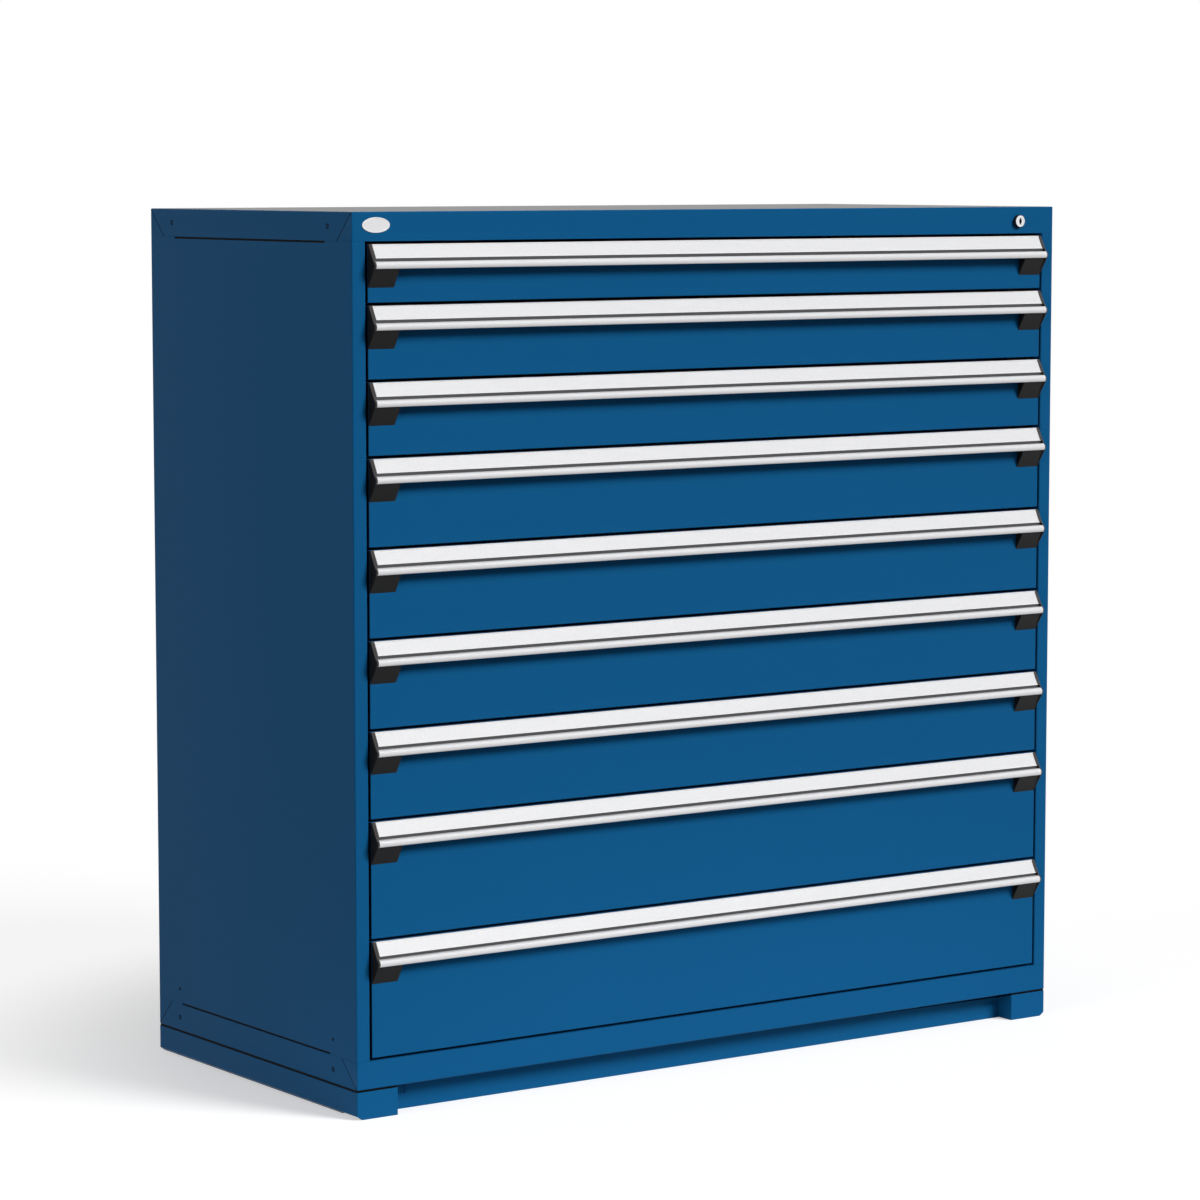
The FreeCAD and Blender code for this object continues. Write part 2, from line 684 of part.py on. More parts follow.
def lock_cam():
    """The cam on the plug's tail, with the pin that lifts the bar."""
    pin_x, pin_z = crank_place()
    end = CAM_START + CAM_SHEET
    disc = along_y(PLUG_RADIUS + CAM_PIN_RADIUS + CAM_SHEET, LOCK_X, LOCK_Z, CAM_START, end)
    pin = along_y(CAM_PIN_RADIUS, pin_x, pin_z, end, end + CAM_PIN_LENGTH)
    return one_solid([disc, pin])


def lock_bar():
    """The locking bar: a long strip behind the stile, an arm to the lock and a tongue below each catch."""
    pin_x, pin_z = crank_place()
    back = BAR_FRONT + BAR_SHEET
    arm_low = pin_z - BAR_ARM_HEIGHT / 2
    arm_high = pin_z + BAR_ARM_HEIGHT / 2
    slot_low = CRANK * math.cos(math.radians(LOCK_TURN / 2)) - CAM_PIN_RADIUS - CAM_PIN_PLAY
    slot_high = CRANK + CAM_PIN_RADIUS + CAM_PIN_PLAY
    arm = block(LOCK_X + slot_low - BAR_SHEET, BAR_INNER, BAR_FRONT, back, arm_low, arm_high)
    slot = block(
        LOCK_X + slot_low,
        LOCK_X + slot_high,
        BAR_FRONT - PAST,
        back + PAST,
        pin_z - CAM_PIN_RADIUS - CAM_PIN_PLAY,
        pin_z + CAM_PIN_RADIUS + CAM_PIN_PLAY,
    )
    tongues = []
    for level in floor_levels():
        low = runner_axis(level) + RUNNER_HEIGHT / 2 + TONGUE_RISE
        tongues.append(block(BAR_INNER - TONGUE_REACH, BAR_INNER, BAR_FRONT, back, low, low + TONGUE_HEIGHT))
    strip = block(BAR_INNER, BAR_INNER + BAR_WIDTH, BAR_FRONT, back, low, arm_high)
    return Part.makeCompound([strip, arm.cut(slot)] + tongues)


def badge_plate():
    """A plain oval plate on the fascia."""
    centre = Vector(-HALF + BADGE_INSET, 0, HEIGHT - BADGE_DROP)
    long_end = centre + Vector(BADGE_WIDTH / 2, 0, 0)
    short_end = centre + Vector(0, 0, BADGE_HEIGHT / 2)
    oval = Part.Ellipse(long_end, short_end, centre).toShape()
    return Part.Face(Part.Wire(oval)).extrude(Vector(0, -BADGE_SHEET, 0))


def write(node, shape):
    """Shifts a piece to the object's frame and writes its file."""
    placed = shape.copy()
    placed.translate(Vector(0, FRONT_PLANE, 0))
    placed.exportStep(f"parts/{node}.step")


def build():
    """Makes every piece of the cabinet."""
    os.makedirs("parts", exist_ok=True)
    side = right_side_panel()
    write("top_pan", top_pan())
    write("bottom_pan", bottom_pan())
    write("right_side_panel", side)
    write("left_side_panel", mirrored(side))
    write("back_panel", back_panel())
    write("runner_uprights", runner_uprights())
    write("cabinet_runners", cabinet_runners())
    write("base_frame", base_frame())
    write("kick_plate", kick_plate())
    write("side_screws", side_screws())
    write("lock_barrel", lock_barrel())
    write("lock_plug", lock_plug())
    write("lock_cam", lock_cam())
    write("lock_bar", lock_bar())
    write("badge_plate", badge_plate())
    for number, (level, pitch) in enumerate(zip(floor_levels(), DRAWER_PITCHES), start=1):
        top = level + pitch - FRONT_GAP
        write(f"drawer_{number}_tray", drawer_tray(level, pitch))
        write(f"drawer_{number}_front", drawer_front(level, pitch))
        write(f"drawer_{number}_handle", drawer_handle(top))
        write(f"drawer_{number}_end_caps", end_caps(top))
        write(f"drawer_{number}_carriages", carriages(level))


build()
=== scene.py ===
"""Modular drawer cabinet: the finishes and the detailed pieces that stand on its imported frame.

Every length is in metres, in the frame's own axes: +X is to the right, the fronts face -Y and +Z is up.
"""

import json
import logging
import math
from dataclasses import dataclass, field
from enum import Enum
from typing import Iterable, Sequence

import bmesh
import bpy
from bmesh.types import BMesh, BMFace
from bpy.types import Material, Mesh, Node, NodeOutputs, NodeSocket, NodeTree, Object
from mathutils import Matrix, Vector

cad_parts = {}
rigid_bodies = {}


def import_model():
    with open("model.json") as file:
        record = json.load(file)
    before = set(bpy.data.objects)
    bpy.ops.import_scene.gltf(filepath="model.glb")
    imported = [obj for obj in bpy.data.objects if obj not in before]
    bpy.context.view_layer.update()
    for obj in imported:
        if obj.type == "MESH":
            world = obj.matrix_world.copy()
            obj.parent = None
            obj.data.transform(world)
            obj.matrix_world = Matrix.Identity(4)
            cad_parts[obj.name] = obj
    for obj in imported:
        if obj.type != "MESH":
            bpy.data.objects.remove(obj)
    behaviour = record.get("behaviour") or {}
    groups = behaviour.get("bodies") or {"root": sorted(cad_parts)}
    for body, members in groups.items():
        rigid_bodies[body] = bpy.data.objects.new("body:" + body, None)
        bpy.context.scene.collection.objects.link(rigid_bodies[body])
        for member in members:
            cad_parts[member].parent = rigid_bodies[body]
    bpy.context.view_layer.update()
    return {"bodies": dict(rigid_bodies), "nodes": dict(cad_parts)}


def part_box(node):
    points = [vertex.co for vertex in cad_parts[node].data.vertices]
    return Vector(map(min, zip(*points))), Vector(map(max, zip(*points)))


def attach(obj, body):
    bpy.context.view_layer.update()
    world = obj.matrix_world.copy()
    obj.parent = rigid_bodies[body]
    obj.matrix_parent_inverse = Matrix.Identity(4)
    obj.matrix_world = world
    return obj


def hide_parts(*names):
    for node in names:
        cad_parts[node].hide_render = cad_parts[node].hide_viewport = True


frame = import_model()
LOG = logging.getLogger("cabinet")

MM = 0.001
HIDDEN_OVERLAP = 0.1 * MM
BEYOND = 10.0 * MM
WELD = 0.001 * MM
SHARP_ANGLE = math.radians(38)
BEVEL_ANGLE = math.radians(30)
FLAT_ANGLE = math.radians(0.4)
BEND_SEGMENTS = 4
EDGE_SEGMENTS = 2
MOST_TRIM = 0.49
FACING_SIDE = 0.9
GRAIN_NOISE = {"Detail": 3.0, "Roughness": 0.55}
DRIFT_NOISE = {"Detail": 2.0, "Roughness": 0.5}
FRAME_PIXELS = 1200
MIX_INPUTS = (0, 6, 7)
MIX_RESULT = 2

Point2 = tuple[float, float]
Point3 = tuple[float, float, float]
Corner = tuple[float, float, float]
Colour = tuple[float, float, float]

FLOAT = "NodeSocketFloat"
INTEGER = "NodeSocketInt"
VECTOR = "NodeSocketVector"
COLOUR = "NodeSocketColor"
OBJECT = "NodeSocketObject"
MATERIAL = "NodeSocketMaterial"
GEOMETRY = "NodeSocketGeometry"


class Side(Enum):
    """The two sides of the cabinet, as the sign of X."""

    LEFT = -1
    RIGHT = 1


class Slot(Enum):
    """The record's material slots."""

    BLUE = "blue_paint"
    TRAY = "tray_paint"
    RUNNER = "runner_steel"
    HANDLE = "handle_aluminium"
    CAP = "cap_plastic"
    CHROME = "lock_chrome"
    LOCK_STEEL = "lock_steel"
    BADGE = "badge_white"


# Node helpers

class Graph:
    """A short way to add nodes to one tree, each with what feeds it."""

    def __init__(self, tree: NodeTree) -> None:
        """Keeps the tree that the nodes go into."""
        self.tree = tree

    def feed(self, target: NodeSocket, value: object) -> None:
        """Links a socket, or a node's first output, to an input, or sets the input to a plain value.

        Args:
            target: The input to feed.
            value: The socket, the node or the plain value.
        """
        if isinstance(value, Node):
            value = value.outputs[0]
        if isinstance(value, NodeSocket):
            self.tree.links.new(value, target)
        else:
            target.default_value = value

    def add(self, kind: str, *inputs: object, **named: object) -> Node:
        """Adds a node and feeds it.

        Args:
            kind: The node's type name.
            inputs: What feeds its first inputs, in their order.
            named: Inputs by their name, which starts with a capital letter and has underscores for
                spaces, and settings, which start with a small letter.

        Returns:
            The new node.
        """
        node = self.tree.nodes.new(kind)
        fed: dict[int | str, object] = dict(enumerate(inputs))
        for name, value in named.items():
            if name[0].isupper():
                fed[name.replace("_", " ")] = value
            else:
                setattr(node, name, value)
        for key, value in fed.items():
            self.feed(node.inputs[key], value)
        return node

    def math(self, operation: str, *inputs: object, clamp: bool = False) -> Node:
        """Adds a node that calculates with numbers."""
        return self.add("ShaderNodeMath", *inputs, operation=operation, use_clamp=clamp)

    def joined(self, *parts: object) -> Node:
        """Adds a node that joins pieces of geometry.

        Args:
            parts: What to join.

        Returns:
            The new node.
        """
        node = self.add("GeometryNodeJoinGeometry")
        for part in parts:
            self.feed(node.inputs[0], part)
        return node


def new_group(
    name: str, kind: str, inputs: dict[str, str], output: tuple[str, str]
) -> tuple[Graph, NodeOutputs, NodeSocket]:
    """Starts a node group with named sockets.

    Args:
        name: The group's name.
        kind: ShaderNodeTree or GeometryNodeTree.
        inputs: The socket type of each input, by its name.
        output: The name and socket type of what the group puts out.

    Returns:
        The graph of the new group, what it is given and the socket that takes its result.
    """
    tree = bpy.data.node_groups.new(name, kind)
    for label, socket_type in inputs.items():
        tree.interface.new_socket(label, in_out="INPUT", socket_type=socket_type)
    tree.interface.new_socket(output[0], in_out="OUTPUT", socket_type=output[1])
    graph = Graph(tree)
    return graph, graph.add("NodeGroupInput").outputs, graph.add("NodeGroupOutput").inputs[0]


# Surface effects that several finishes share

def grain_group() -> NodeTree:
    """Even grain: orange peel, moulded texture or brushing, by its scale and stretch.

    Returns:
        A shader group with a Value from 0 to 1 that averages about a half.
    """
    inputs = {"Vector": VECTOR, "Scale": FLOAT, "Stretch": VECTOR, "Contrast": FLOAT}
    graph, given, result = new_group("surface_grain", "ShaderNodeTree", inputs, ("Value", FLOAT))
    mapping = graph.add("ShaderNodeMapping", Vector=given["Vector"], Scale=given["Stretch"])
    noise = graph.add("ShaderNodeTexNoise", Vector=mapping, Scale=given["Scale"], **GRAIN_NOISE)
    offset = graph.math("MULTIPLY_ADD", given["Contrast"], -0.5, 0.5)
    graph.feed(result, graph.math("MULTIPLY_ADD", noise, given["Contrast"], offset, clamp=True))
    return graph.tree


def drift_group() -> NodeTree:
    """Slow changes of shade over a surface, as a real coat or sheet has.

    Returns:
        A shader group that puts out the colour, a little lighter and darker from place to place.
    """
    inputs = {"Vector": VECTOR, "Color": COLOUR, "Scale": FLOAT, "Amount": FLOAT}
    graph, given, result = new_group("shade_drift", "ShaderNodeTree", inputs, ("Color", COLOUR))
    noise = graph.add("ShaderNodeTexNoise", Vector=given["Vector"], Scale=given["Scale"], **DRIFT_NOISE)
    amount = graph.math("MULTIPLY_ADD", graph.math("SUBTRACT", noise, 0.5), given["Amount"], 1.0)
    graph.feed(result, graph.add("ShaderNodeHueSaturation", Value=amount, Color=given["Color"]))
    return graph.tree


# Finishes

@dataclass(frozen=True)
class Finish:
    """One finish of the cabinet, made into a material once.

    The grain has a scale in features per metre and a stretch that turns it into brushing.
    """

    name: str
    colour: Colour
    roughness: float
    metallic: float = 0.0
    specular: float = 0.5
    grain_scale: float = 600.0
    grain_stretch: Point3 = (1.0, 1.0, 1.0)
    grain_contrast: float = 1.0
    roughness_spread: float = 0.06
    bump: float = 0.05
    bump_depth: float = 0.05 * MM
    drift: float = 0.04
    drift_scale: float = 2.5
    sparkle: float = 0.0
    fleck_share: float = 1.7
    fleck_contrast: float = 2.2
    coat: float = 0.0
    coat_roughness: float = 0.15
    coat_ior: float = 1.5
    grazing: Colour | None = None
    grazing_start: float = 0.93
    grazing_end: float = 0.985

    def material(self) -> Material:
        """Builds the material, or finds it if it has been built.

        Returns:
            The Blender material of this finish.
        """
        found = bpy.data.materials.get(self.name)
        if found is not None:
            return found
        made = bpy.data.materials.new(self.name)
        made.use_nodes = True
        made.diffuse_color = (*self.colour, 1.0)
        graph = Graph(made.node_tree)
        place = graph.add("ShaderNodeTexCoord").outputs["Object"]
        grain = graph.add(
            "ShaderNodeGroup", node_tree=EFFECTS["grain"], Vector=place, Scale=self.grain_scale,
            Stretch=self.grain_stretch, Contrast=self.grain_contrast,
        )
        least, most = self.roughness - self.roughness_spread, self.roughness + self.roughness_spread
        values = {
            "Base Color": self.shade(graph, place),
            "Metallic": self.metallic,
            "Roughness": graph.add("ShaderNodeMapRange", Value=grain, To_Min=least, To_Max=most),
            "Normal": graph.add("ShaderNodeBump", Height=grain, Strength=self.bump, Distance=self.bump_depth),
            "Specular IOR Level": self.specular,
            "Coat Weight": self.coat,
            "Coat Roughness": self.coat_roughness,
            "Coat IOR": self.coat_ior,
        }
        for name, value in values.items():
            graph.feed(made.node_tree.nodes["Principled BSDF"].inputs[name], value)
        return made

    def shade(self, graph: Graph, place: NodeSocket) -> Node | NodeSocket:
        """The drifting colour, with its tone at a grazing angle or its sparkle of metal grain.

        Args:
            graph: The material's graph.
            place: The object coordinates.

        Returns:
            What feeds the base colour.
        """
        drift = graph.add(
            "ShaderNodeGroup", node_tree=EFFECTS["drift"], Vector=place, Color=(*self.colour, 1.0),
            Scale=self.drift_scale, Amount=self.drift,
        )
        if self.grazing:
            facing = graph.add("ShaderNodeLayerWeight", Blend=0.5).outputs["Facing"]
            share = graph.add("ShaderNodeMapRange", facing, self.grazing_start, self.grazing_end)
            mix = graph.add("ShaderNodeMix", data_type="RGBA")
            for index, value in zip(MIX_INPUTS, (share, drift, (*self.grazing, 1.0))):
                graph.feed(mix.inputs[index], value)
            return mix.outputs[MIX_RESULT]
        if not self.sparkle:
            return drift
        flecks = graph.add(
            "ShaderNodeGroup", node_tree=EFFECTS["grain"], Vector=place, Stretch=self.grain_stretch,
            Scale=self.grain_scale * self.fleck_share, Contrast=self.fleck_contrast,
        )
        value = graph.math("MULTIPLY_ADD", flecks, self.sparkle, 1.0 - self.sparkle / 2)
        return graph.add("ShaderNodeHueSaturation", Value=value, Color=drift)


EFFECTS = {"grain": grain_group(), "drift": drift_group()}

BLUE_COAT = Finish(
    "blue_powder_coat", (0.0052, 0.092, 0.236), 0.42, specular=0.0, grain_scale=420, bump=0.22,
    coat=1.0, coat_ior=1.10, coat_roughness=0.28, grazing=(0.030, 0.030, 0.030),
)
# A near-black copy of the blue coat: painted shade for the fronts' side returns in the gaps.
PAINTED_SHADE_COAT = Finish("shaded_coat", (0.0006, 0.0060, 0.0130), 0.6, specular=0.05, grain_scale=420, bump=0.2)
GREY_COAT = Finish("grey_powder_coat", (0.44, 0.45, 0.46), 0.45, specular=0.35, grain_scale=420, bump=0.2)
ZINC = Finish(
    "zinc_plate", (0.55, 0.56, 0.57), 0.34, metallic=1.0, grain_scale=90, grain_contrast=1.6,
    roughness_spread=0.09, drift=0.16, drift_scale=14, bump=0.04,
)
OILED_STEEL = Finish(
    "oiled_steel", (0.16, 0.16, 0.165), 0.42, metallic=1.0, grain_scale=160, roughness_spread=0.08,
    drift=0.12, drift_scale=20,
)
SATIN_ALUMINIUM = Finish(
    "satin_aluminium", (0.735, 0.735, 0.745), 0.34, metallic=0.35, specular=0.3, grain_scale=520,
    grain_stretch=(0.5, 1.0, 1.0), roughness_spread=0.07, bump=0.10, drift=0.02, sparkle=0.14,
)
BRIGHT_ALUMINIUM = Finish(
    "bright_aluminium", (0.95, 0.95, 0.955), 0.24, metallic=1.0, grain_scale=520,
    grain_stretch=(0.5, 1.0, 1.0), roughness_spread=0.05, bump=0.05, drift=0.02,
)
# Dark aluminium for the handle groove's faces: painted shade in the groove.
GROOVE_SHADE_ALUMINIUM = Finish(
    "shaded_groove", (0.11, 0.11, 0.113), 0.45, metallic=1.0, grain_scale=520, bump=0.05, drift=0.02,
)
BLACK_PLASTIC = Finish(
    "moulded_black", (0.0090, 0.0088, 0.0090), 0.50, specular=0.16, grain_scale=1100, bump=0.30, drift=0.10,
)
# Lighter black plastic for the caps' edge bands and lips: a painted highlight.
PAINTED_HIGHLIGHT_PLASTIC = Finish(
    "rubbed_black", (0.050, 0.046, 0.044), 0.42, specular=0.25, grain_scale=1100, bump=0.20, drift=0.12,
)
CHROME = Finish(
    "bright_chrome", (0.82, 0.82, 0.83), 0.14, metallic=1.0, grain_scale=1500, roughness_spread=0.04,
    bump=0.03, drift=0.02,
)
# Plain black for sheets set into gaps, seams and holes: painted shade.
PAINTED_SHADE_BLACK = Finish("seam_black", (0.0035, 0.0035, 0.0035), 0.7, specular=0.05, bump=0.02)
BADGE_ENAMEL = Finish("badge_enamel", (0.78, 0.78, 0.80), 0.30, grain_scale=700, bump=0.05, drift=0.02)


# Meshes

def placed(name: str, data: bpy.types.ID) -> Object:
    """Puts a new object with the given data into the scene.

    Args:
        name: The object's name.
        data: Its mesh, light or camera.

    Returns:
        The new object.
    """
    made = bpy.data.objects.new(name, data)
    bpy.context.scene.collection.objects.link(made)
    return made


def mesh_object(name: str, shape: BMesh, *finishes: Finish) -> Object:
    """Turns a bmesh into an object in the scene.

    Args:
        name: The object's name.
        shape: The bmesh, which is freed.
        finishes: The finishes in the order of its faces' indices; a single one takes every face.

    Returns:
        The new object, at the origin.
    """
    if len(finishes) == 1:
        for face in shape.faces:
            face.material_index = 0
    mesh = bpy.data.meshes.new(name)
    shape.to_mesh(mesh)
    shape.free()
    for finish in finishes:
        mesh.materials.append(finish.material())
    return placed(name, mesh)


def evaluated(source: Object) -> Mesh:
    """Applies an object's modifiers into a new mesh and removes the object.

    Args:
        source: The object.

    Returns:
        The new mesh.
    """
    bpy.context.view_layer.update()
    graph = bpy.context.evaluated_depsgraph_get()
    mesh = bpy.data.meshes.new_from_object(source.evaluated_get(graph))
    bpy.data.objects.remove(source)
    return mesh


def shaded(mesh: Mesh, name: str) -> Object:
    """Makes the finished object of a mesh, smooth over its bends and sharp at its corners.

    Args:
        mesh: A mesh in the frame's place.
        name: The finished piece's name.

    Returns:
        The piece, with its normals weighted by face so that flat sheet stays flat.
    """
    mesh.shade_smooth()
    mesh.set_sharp_from_angle(angle=SHARP_ANGLE)
    draft = placed(name + "_draft", mesh)
    draft.modifiers.new("weights", "WEIGHTED_NORMAL").keep_sharp = True
    final = evaluated(draft)
    final.name = name
    return placed(name, final)


def outward(shape: BMesh) -> BMesh:
    """Welds a closed shape's doubles and turns its faces outwards.

    Args:
        shape: The bmesh, which is changed.

    Returns:
        The same bmesh.
    """
    bmesh.ops.remove_doubles(shape, verts=shape.verts, dist=WELD)
    bmesh.ops.recalc_face_normals(shape, faces=shape.faces)
    return shape


def add_bevel(target: Object, width: float, segments: int = EDGE_SEGMENTS) -> None:
    """Adds a bevel on every edge that is sharp enough.

    Args:
        target: The object that gets the modifier.
        width: How far each edge is eased.
        segments: The number of short faces in each easing.
    """
    bevel = target.modifiers.new("edges", "BEVEL")
    bevel.width = width
    bevel.segments = segments
    bevel.limit_method = "ANGLE"
    bevel.angle_limit = BEVEL_ANGLE
    bevel.miter_outer = "MITER_ARC"


def add_cuboid(shape: BMesh, first: Sequence[float], second: Sequence[float]) -> None:
    """Adds a box between any two opposite corners to a bmesh.

    Args:
        shape: The bmesh.
        first: One corner.
        second: The corner opposite to it.
    """
    low, high = Vector(map(min, first, second)), Vector(map(max, first, second))
    place = Matrix.Translation((high + low) / 2) @ Matrix.Diagonal((*(high - low), 1.0))
    bmesh.ops.create_cube(shape, size=1.0, matrix=place)


def add_loft(
    shape: BMesh, rings: Sequence[Sequence[Point3]]
) -> list[list[BMFace]]:
    """Adds a closed solid through rings of equally many points.

    Args:
        shape: The bmesh.
        rings: The corners of each ring, from one end to the other.

    Returns:
        The faces between each ring and the next.
    """
    loops = [[shape.verts.new(point) for point in ring] for ring in rings]
    shape.faces.new(loops[0])
    shape.faces.new(list(reversed(loops[-1])))
    bands = []
    for near, far in zip(loops, loops[1:]):
        band = []
        for index in range(len(near)):
            after = (index + 1) % len(near)
            band.append(shape.faces.new([near[after], near[index], far[index], far[after]]))
        bands.append(band)
    return bands


def add_hood(
    shape: BMesh, face: Sequence[Point3], edge: Sequence[Point3], turned: bool
) -> None:
    """Adds one flat face and the flanges that are folded back from its edges.

    Args:
        shape: The bmesh.
        face: The corners of the face.
        edge: The corners of the flanges' free edges, in the same order.
        turned: Whether the flanges turn the other way round than the face.
    """
    near, far = ([shape.verts.new(point) for point in ring] for ring in (face, edge))
    shape.faces.new(near)
    for index in range(len(near)):
        after = (index + 1) % len(near)
        quad = [near[index], near[after], far[after], far[index]]
        if turned:
            quad = [near[after], near[index], far[index], far[after]]
        shape.faces.new(quad)


def add_prism(shape: BMesh, outline: Sequence[Point3], reach: Sequence[float]) -> None:
    """Adds a closed prism to a bmesh.

    Args:
        shape: The bmesh.
        outline: The corners of one end, in one plane.
        reach: The vector from that end to the other.
    """
    add_loft(shape, [outline, [Vector(point) + Vector(reach) for point in outline]])


def add_lathe(
    shape: BMesh, profile: Sequence[Point2], centre: Point3, axis: str, steps: int
) -> None:
    """Adds a closed turned shape to a bmesh.

    Args:
        shape: The bmesh.
        profile: (radius, distance along the axis) pairs of a closed outline; a radius of 0 makes a pole.
        centre: The point that the distances are counted from.
        axis: X or Y, the direction of the axis.
        steps: The number of facets round the axis.
    """
    rings = []
    for radius, along in profile:
        ring = []
        for step in range(steps if radius > 0 else 1):
            turn = 2 * math.pi * step / steps
            wide, high = radius * math.cos(turn), radius * math.sin(turn)
            offset = (wide, along, high) if axis == "Y" else (along, wide, high)
            ring.append(shape.verts.new(Vector(centre) + Vector(offset)))
        rings.append(ring)
    for index, ring in enumerate(rings):
        after = rings[(index + 1) % len(rings)]
        if len(ring) == 1 and len(after) == 1:
            continue
        for step in range(steps):
            corners = [ring[step % len(ring)], ring[(step + 1) % len(ring)]]
            corners += [after[(step + 1) % len(after)], after[step % len(after)]]
            shape.faces.new(list(dict.fromkeys(corners)))


def add_disc(
    shape: BMesh, radius: float, near: float, far: float, centre: Point3, axis: str, steps: int
) -> None:
    """Adds a plain round disc between two distances along an axis."""
    add_lathe(shape, [(0, near), (radius, near), (radius, far), (0, far)], centre, axis, steps)


def rounded(corners: Sequence[Corner], steps: int = 3) -> list[Point2]:
    """Rounds the corners of a closed outline.

    Args:
        corners: (across, down, radius) of each corner.
        steps: The number of short edges in each rounding.

    Returns:
        The outline's points.
    """
    points = []
    for index, (across, down, radius) in enumerate(corners):
        here = Vector((across, down))
        if radius <= 0:
            points.append((across, down))
            continue
        before = Vector(corners[index - 1][:2]) - here
        after = Vector(corners[(index + 1) % len(corners)][:2]) - here
        trim = min(radius, before.length * MOST_TRIM, after.length * MOST_TRIM)
        start = here + before.normalized() * trim
        end = here + after.normalized() * trim
        for step in range(steps + 1):
            share = step / steps
            point = start * (1 - share) ** 2 + here * 2 * share * (1 - share) + end * share ** 2
            points.append((point.x, point.y))
    return points


def arc_through(start: Point2, middle: Point2, end: Point2, steps: int) -> list[Corner]:
    """The inner points of a circular arc through three points, as corners with no rounding.

    Args:
        start: Where the arc starts.
        middle: Any point on the way.
        end: Where it ends.
        steps: The number of short edges in the arc.

    Returns:
        The points between the start and the end.
    """
    (ax, ay), (bx, by), (cx, cy) = start, middle, end
    d = 2 * (ax * (by - cy) + bx * (cy - ay) + cx * (ay - by))
    a2, b2, c2 = ax * ax + ay * ay, bx * bx + by * by, cx * cx + cy * cy
    ux = (a2 * (by - cy) + b2 * (cy - ay) + c2 * (ay - by)) / d
    uy = (a2 * (cx - bx) + b2 * (ax - cx) + c2 * (bx - ax)) / d
    radius = math.hypot(ax - ux, ay - uy)
    first = math.atan2(ay - uy, ax - ux)
    sweep = math.atan2(cy - uy, cx - ux) - first
    if sweep > math.pi:
        sweep -= 2 * math.pi
    if sweep < -math.pi:
        sweep += 2 * math.pi
    turns = [first + sweep * step / steps for step in range(1, steps)]
    return [(ux + radius * math.cos(turn), uy + radius * math.sin(turn), 0.0) for turn in turns]


def drawn_in(outline: Sequence[Point2], distance: float) -> list[Point2]:
    """Moves every corner of a closed outline inwards, so that each edge is drawn in by a distance.

    Args:
        outline: The corners, with the inside on the right of each edge as across and down are counted.
        distance: How far each edge moves.

    Returns:
        The corners of the smaller outline.
    """
    points = [Vector(point) for point in outline]
    moved = []
    for index, here in enumerate(points):
        before = (here - points[index - 1]).normalized()
        after = (points[(index + 1) % len(points)] - here).normalized()
        first, second = Vector((-before.y, before.x)), Vector((-after.y, after.x))
        step = (first + second) * distance / (1 + first.dot(second))
        moved.append((here.x + step.x, here.y + step.y))
    return moved


def add_softened(node: str, name: str, finish: Finish, width: float, body: str, slot: Slot) -> None:
    """Seats a copy of a rigid CAD piece with its doubles merged, its flats joined and its edges eased.

    Args:
        node: The CAD node to copy, which the new piece stands for.
        name: The new piece's name.
        finish: The piece's finish.
        width: How far each edge is eased.
        body: The CAD body that the piece moves with.
        slot: The record's material slot.
    """
    shape = bmesh.new()
    shape.from_mesh(frame["nodes"][node].data)
    bmesh.ops.remove_doubles(shape, verts=shape.verts, dist=WELD)
    bmesh.ops.dissolve_limit(
        shape, angle_limit=FLAT_ANGLE, verts=shape.verts, edges=shape.edges, use_dissolve_boundaries=False
    )
    draft = mesh_object(name + "_base", shape, finish)
    add_bevel(draft, width)
    seat(shaded(evaluated(draft), name), body, slot, node)


def cut_mesh(draft: Object, cutters: Iterable[BMesh]) -> Mesh:
    """Cuts closed shapes out of a draft, one set after the other.

    Args:
        draft: The object to cut, which is removed.
        cutters: Sets of closed shapes; the shapes of one set don't overlap each other.

    Returns:
        The cut mesh.
    """
    tools = []
    for cutter in cutters:
        tool = mesh_object(draft.name + "_cutter", outward(cutter))
        tool.data.materials.append(draft.data.materials[0])
        cut = draft.modifiers.new("cut", "BOOLEAN")
        cut.operation = "DIFFERENCE"
        cut.solver = "EXACT"
        cut.object = tool
        tools.append(tool)
    mesh = evaluated(draft)
    for tool in tools:
        bpy.data.objects.remove(tool)
    return mesh


def folded_sheet(
    name: str, shape: BMesh, finish: Finish, thickness: float, bend: float,
    cutters: Sequence[BMesh] = (),
) -> Object:
    """Sheet metal from its outer faces: the folds are rounded, then it gets its thickness and its cuts.

    Args:
        name: The piece's name.
        shape: The outer faces, which point outwards.
        finish: The piece's finish.
        thickness: The thickness of the sheet, to the inside.
        bend: The outer radius of the folds.
        cutters: Sets of closed shapes that are cut out.

    Returns:
        The finished piece.
    """
    draft = mesh_object(name + "_base", shape, finish)
    add_bevel(draft, bend, BEND_SEGMENTS)
    wall = draft.modifiers.new("wall", "SOLIDIFY")
    wall.thickness = thickness
    wall.offset = -1.0
    wall.use_even_offset = True
    return shaded(cut_mesh(draft, cutters), name)


def seat(piece: Object, body: str, slot: Slot, *nodes: str) -> Object:
    """Puts a finished piece on its body.

    Args:
        piece: The finished piece.
        body: The CAD body that it moves with.
        slot: The record's material slot; not used.
        nodes: The CAD nodes that it stands for.

    Returns:
        The same piece.
    """
    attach(piece, body)
    if nodes:
        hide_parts(*nodes)
    LOG.info("%s: %d faces, on %s", piece.name, len(piece.data.polygons), body)
    return piece


# Geometry Nodes

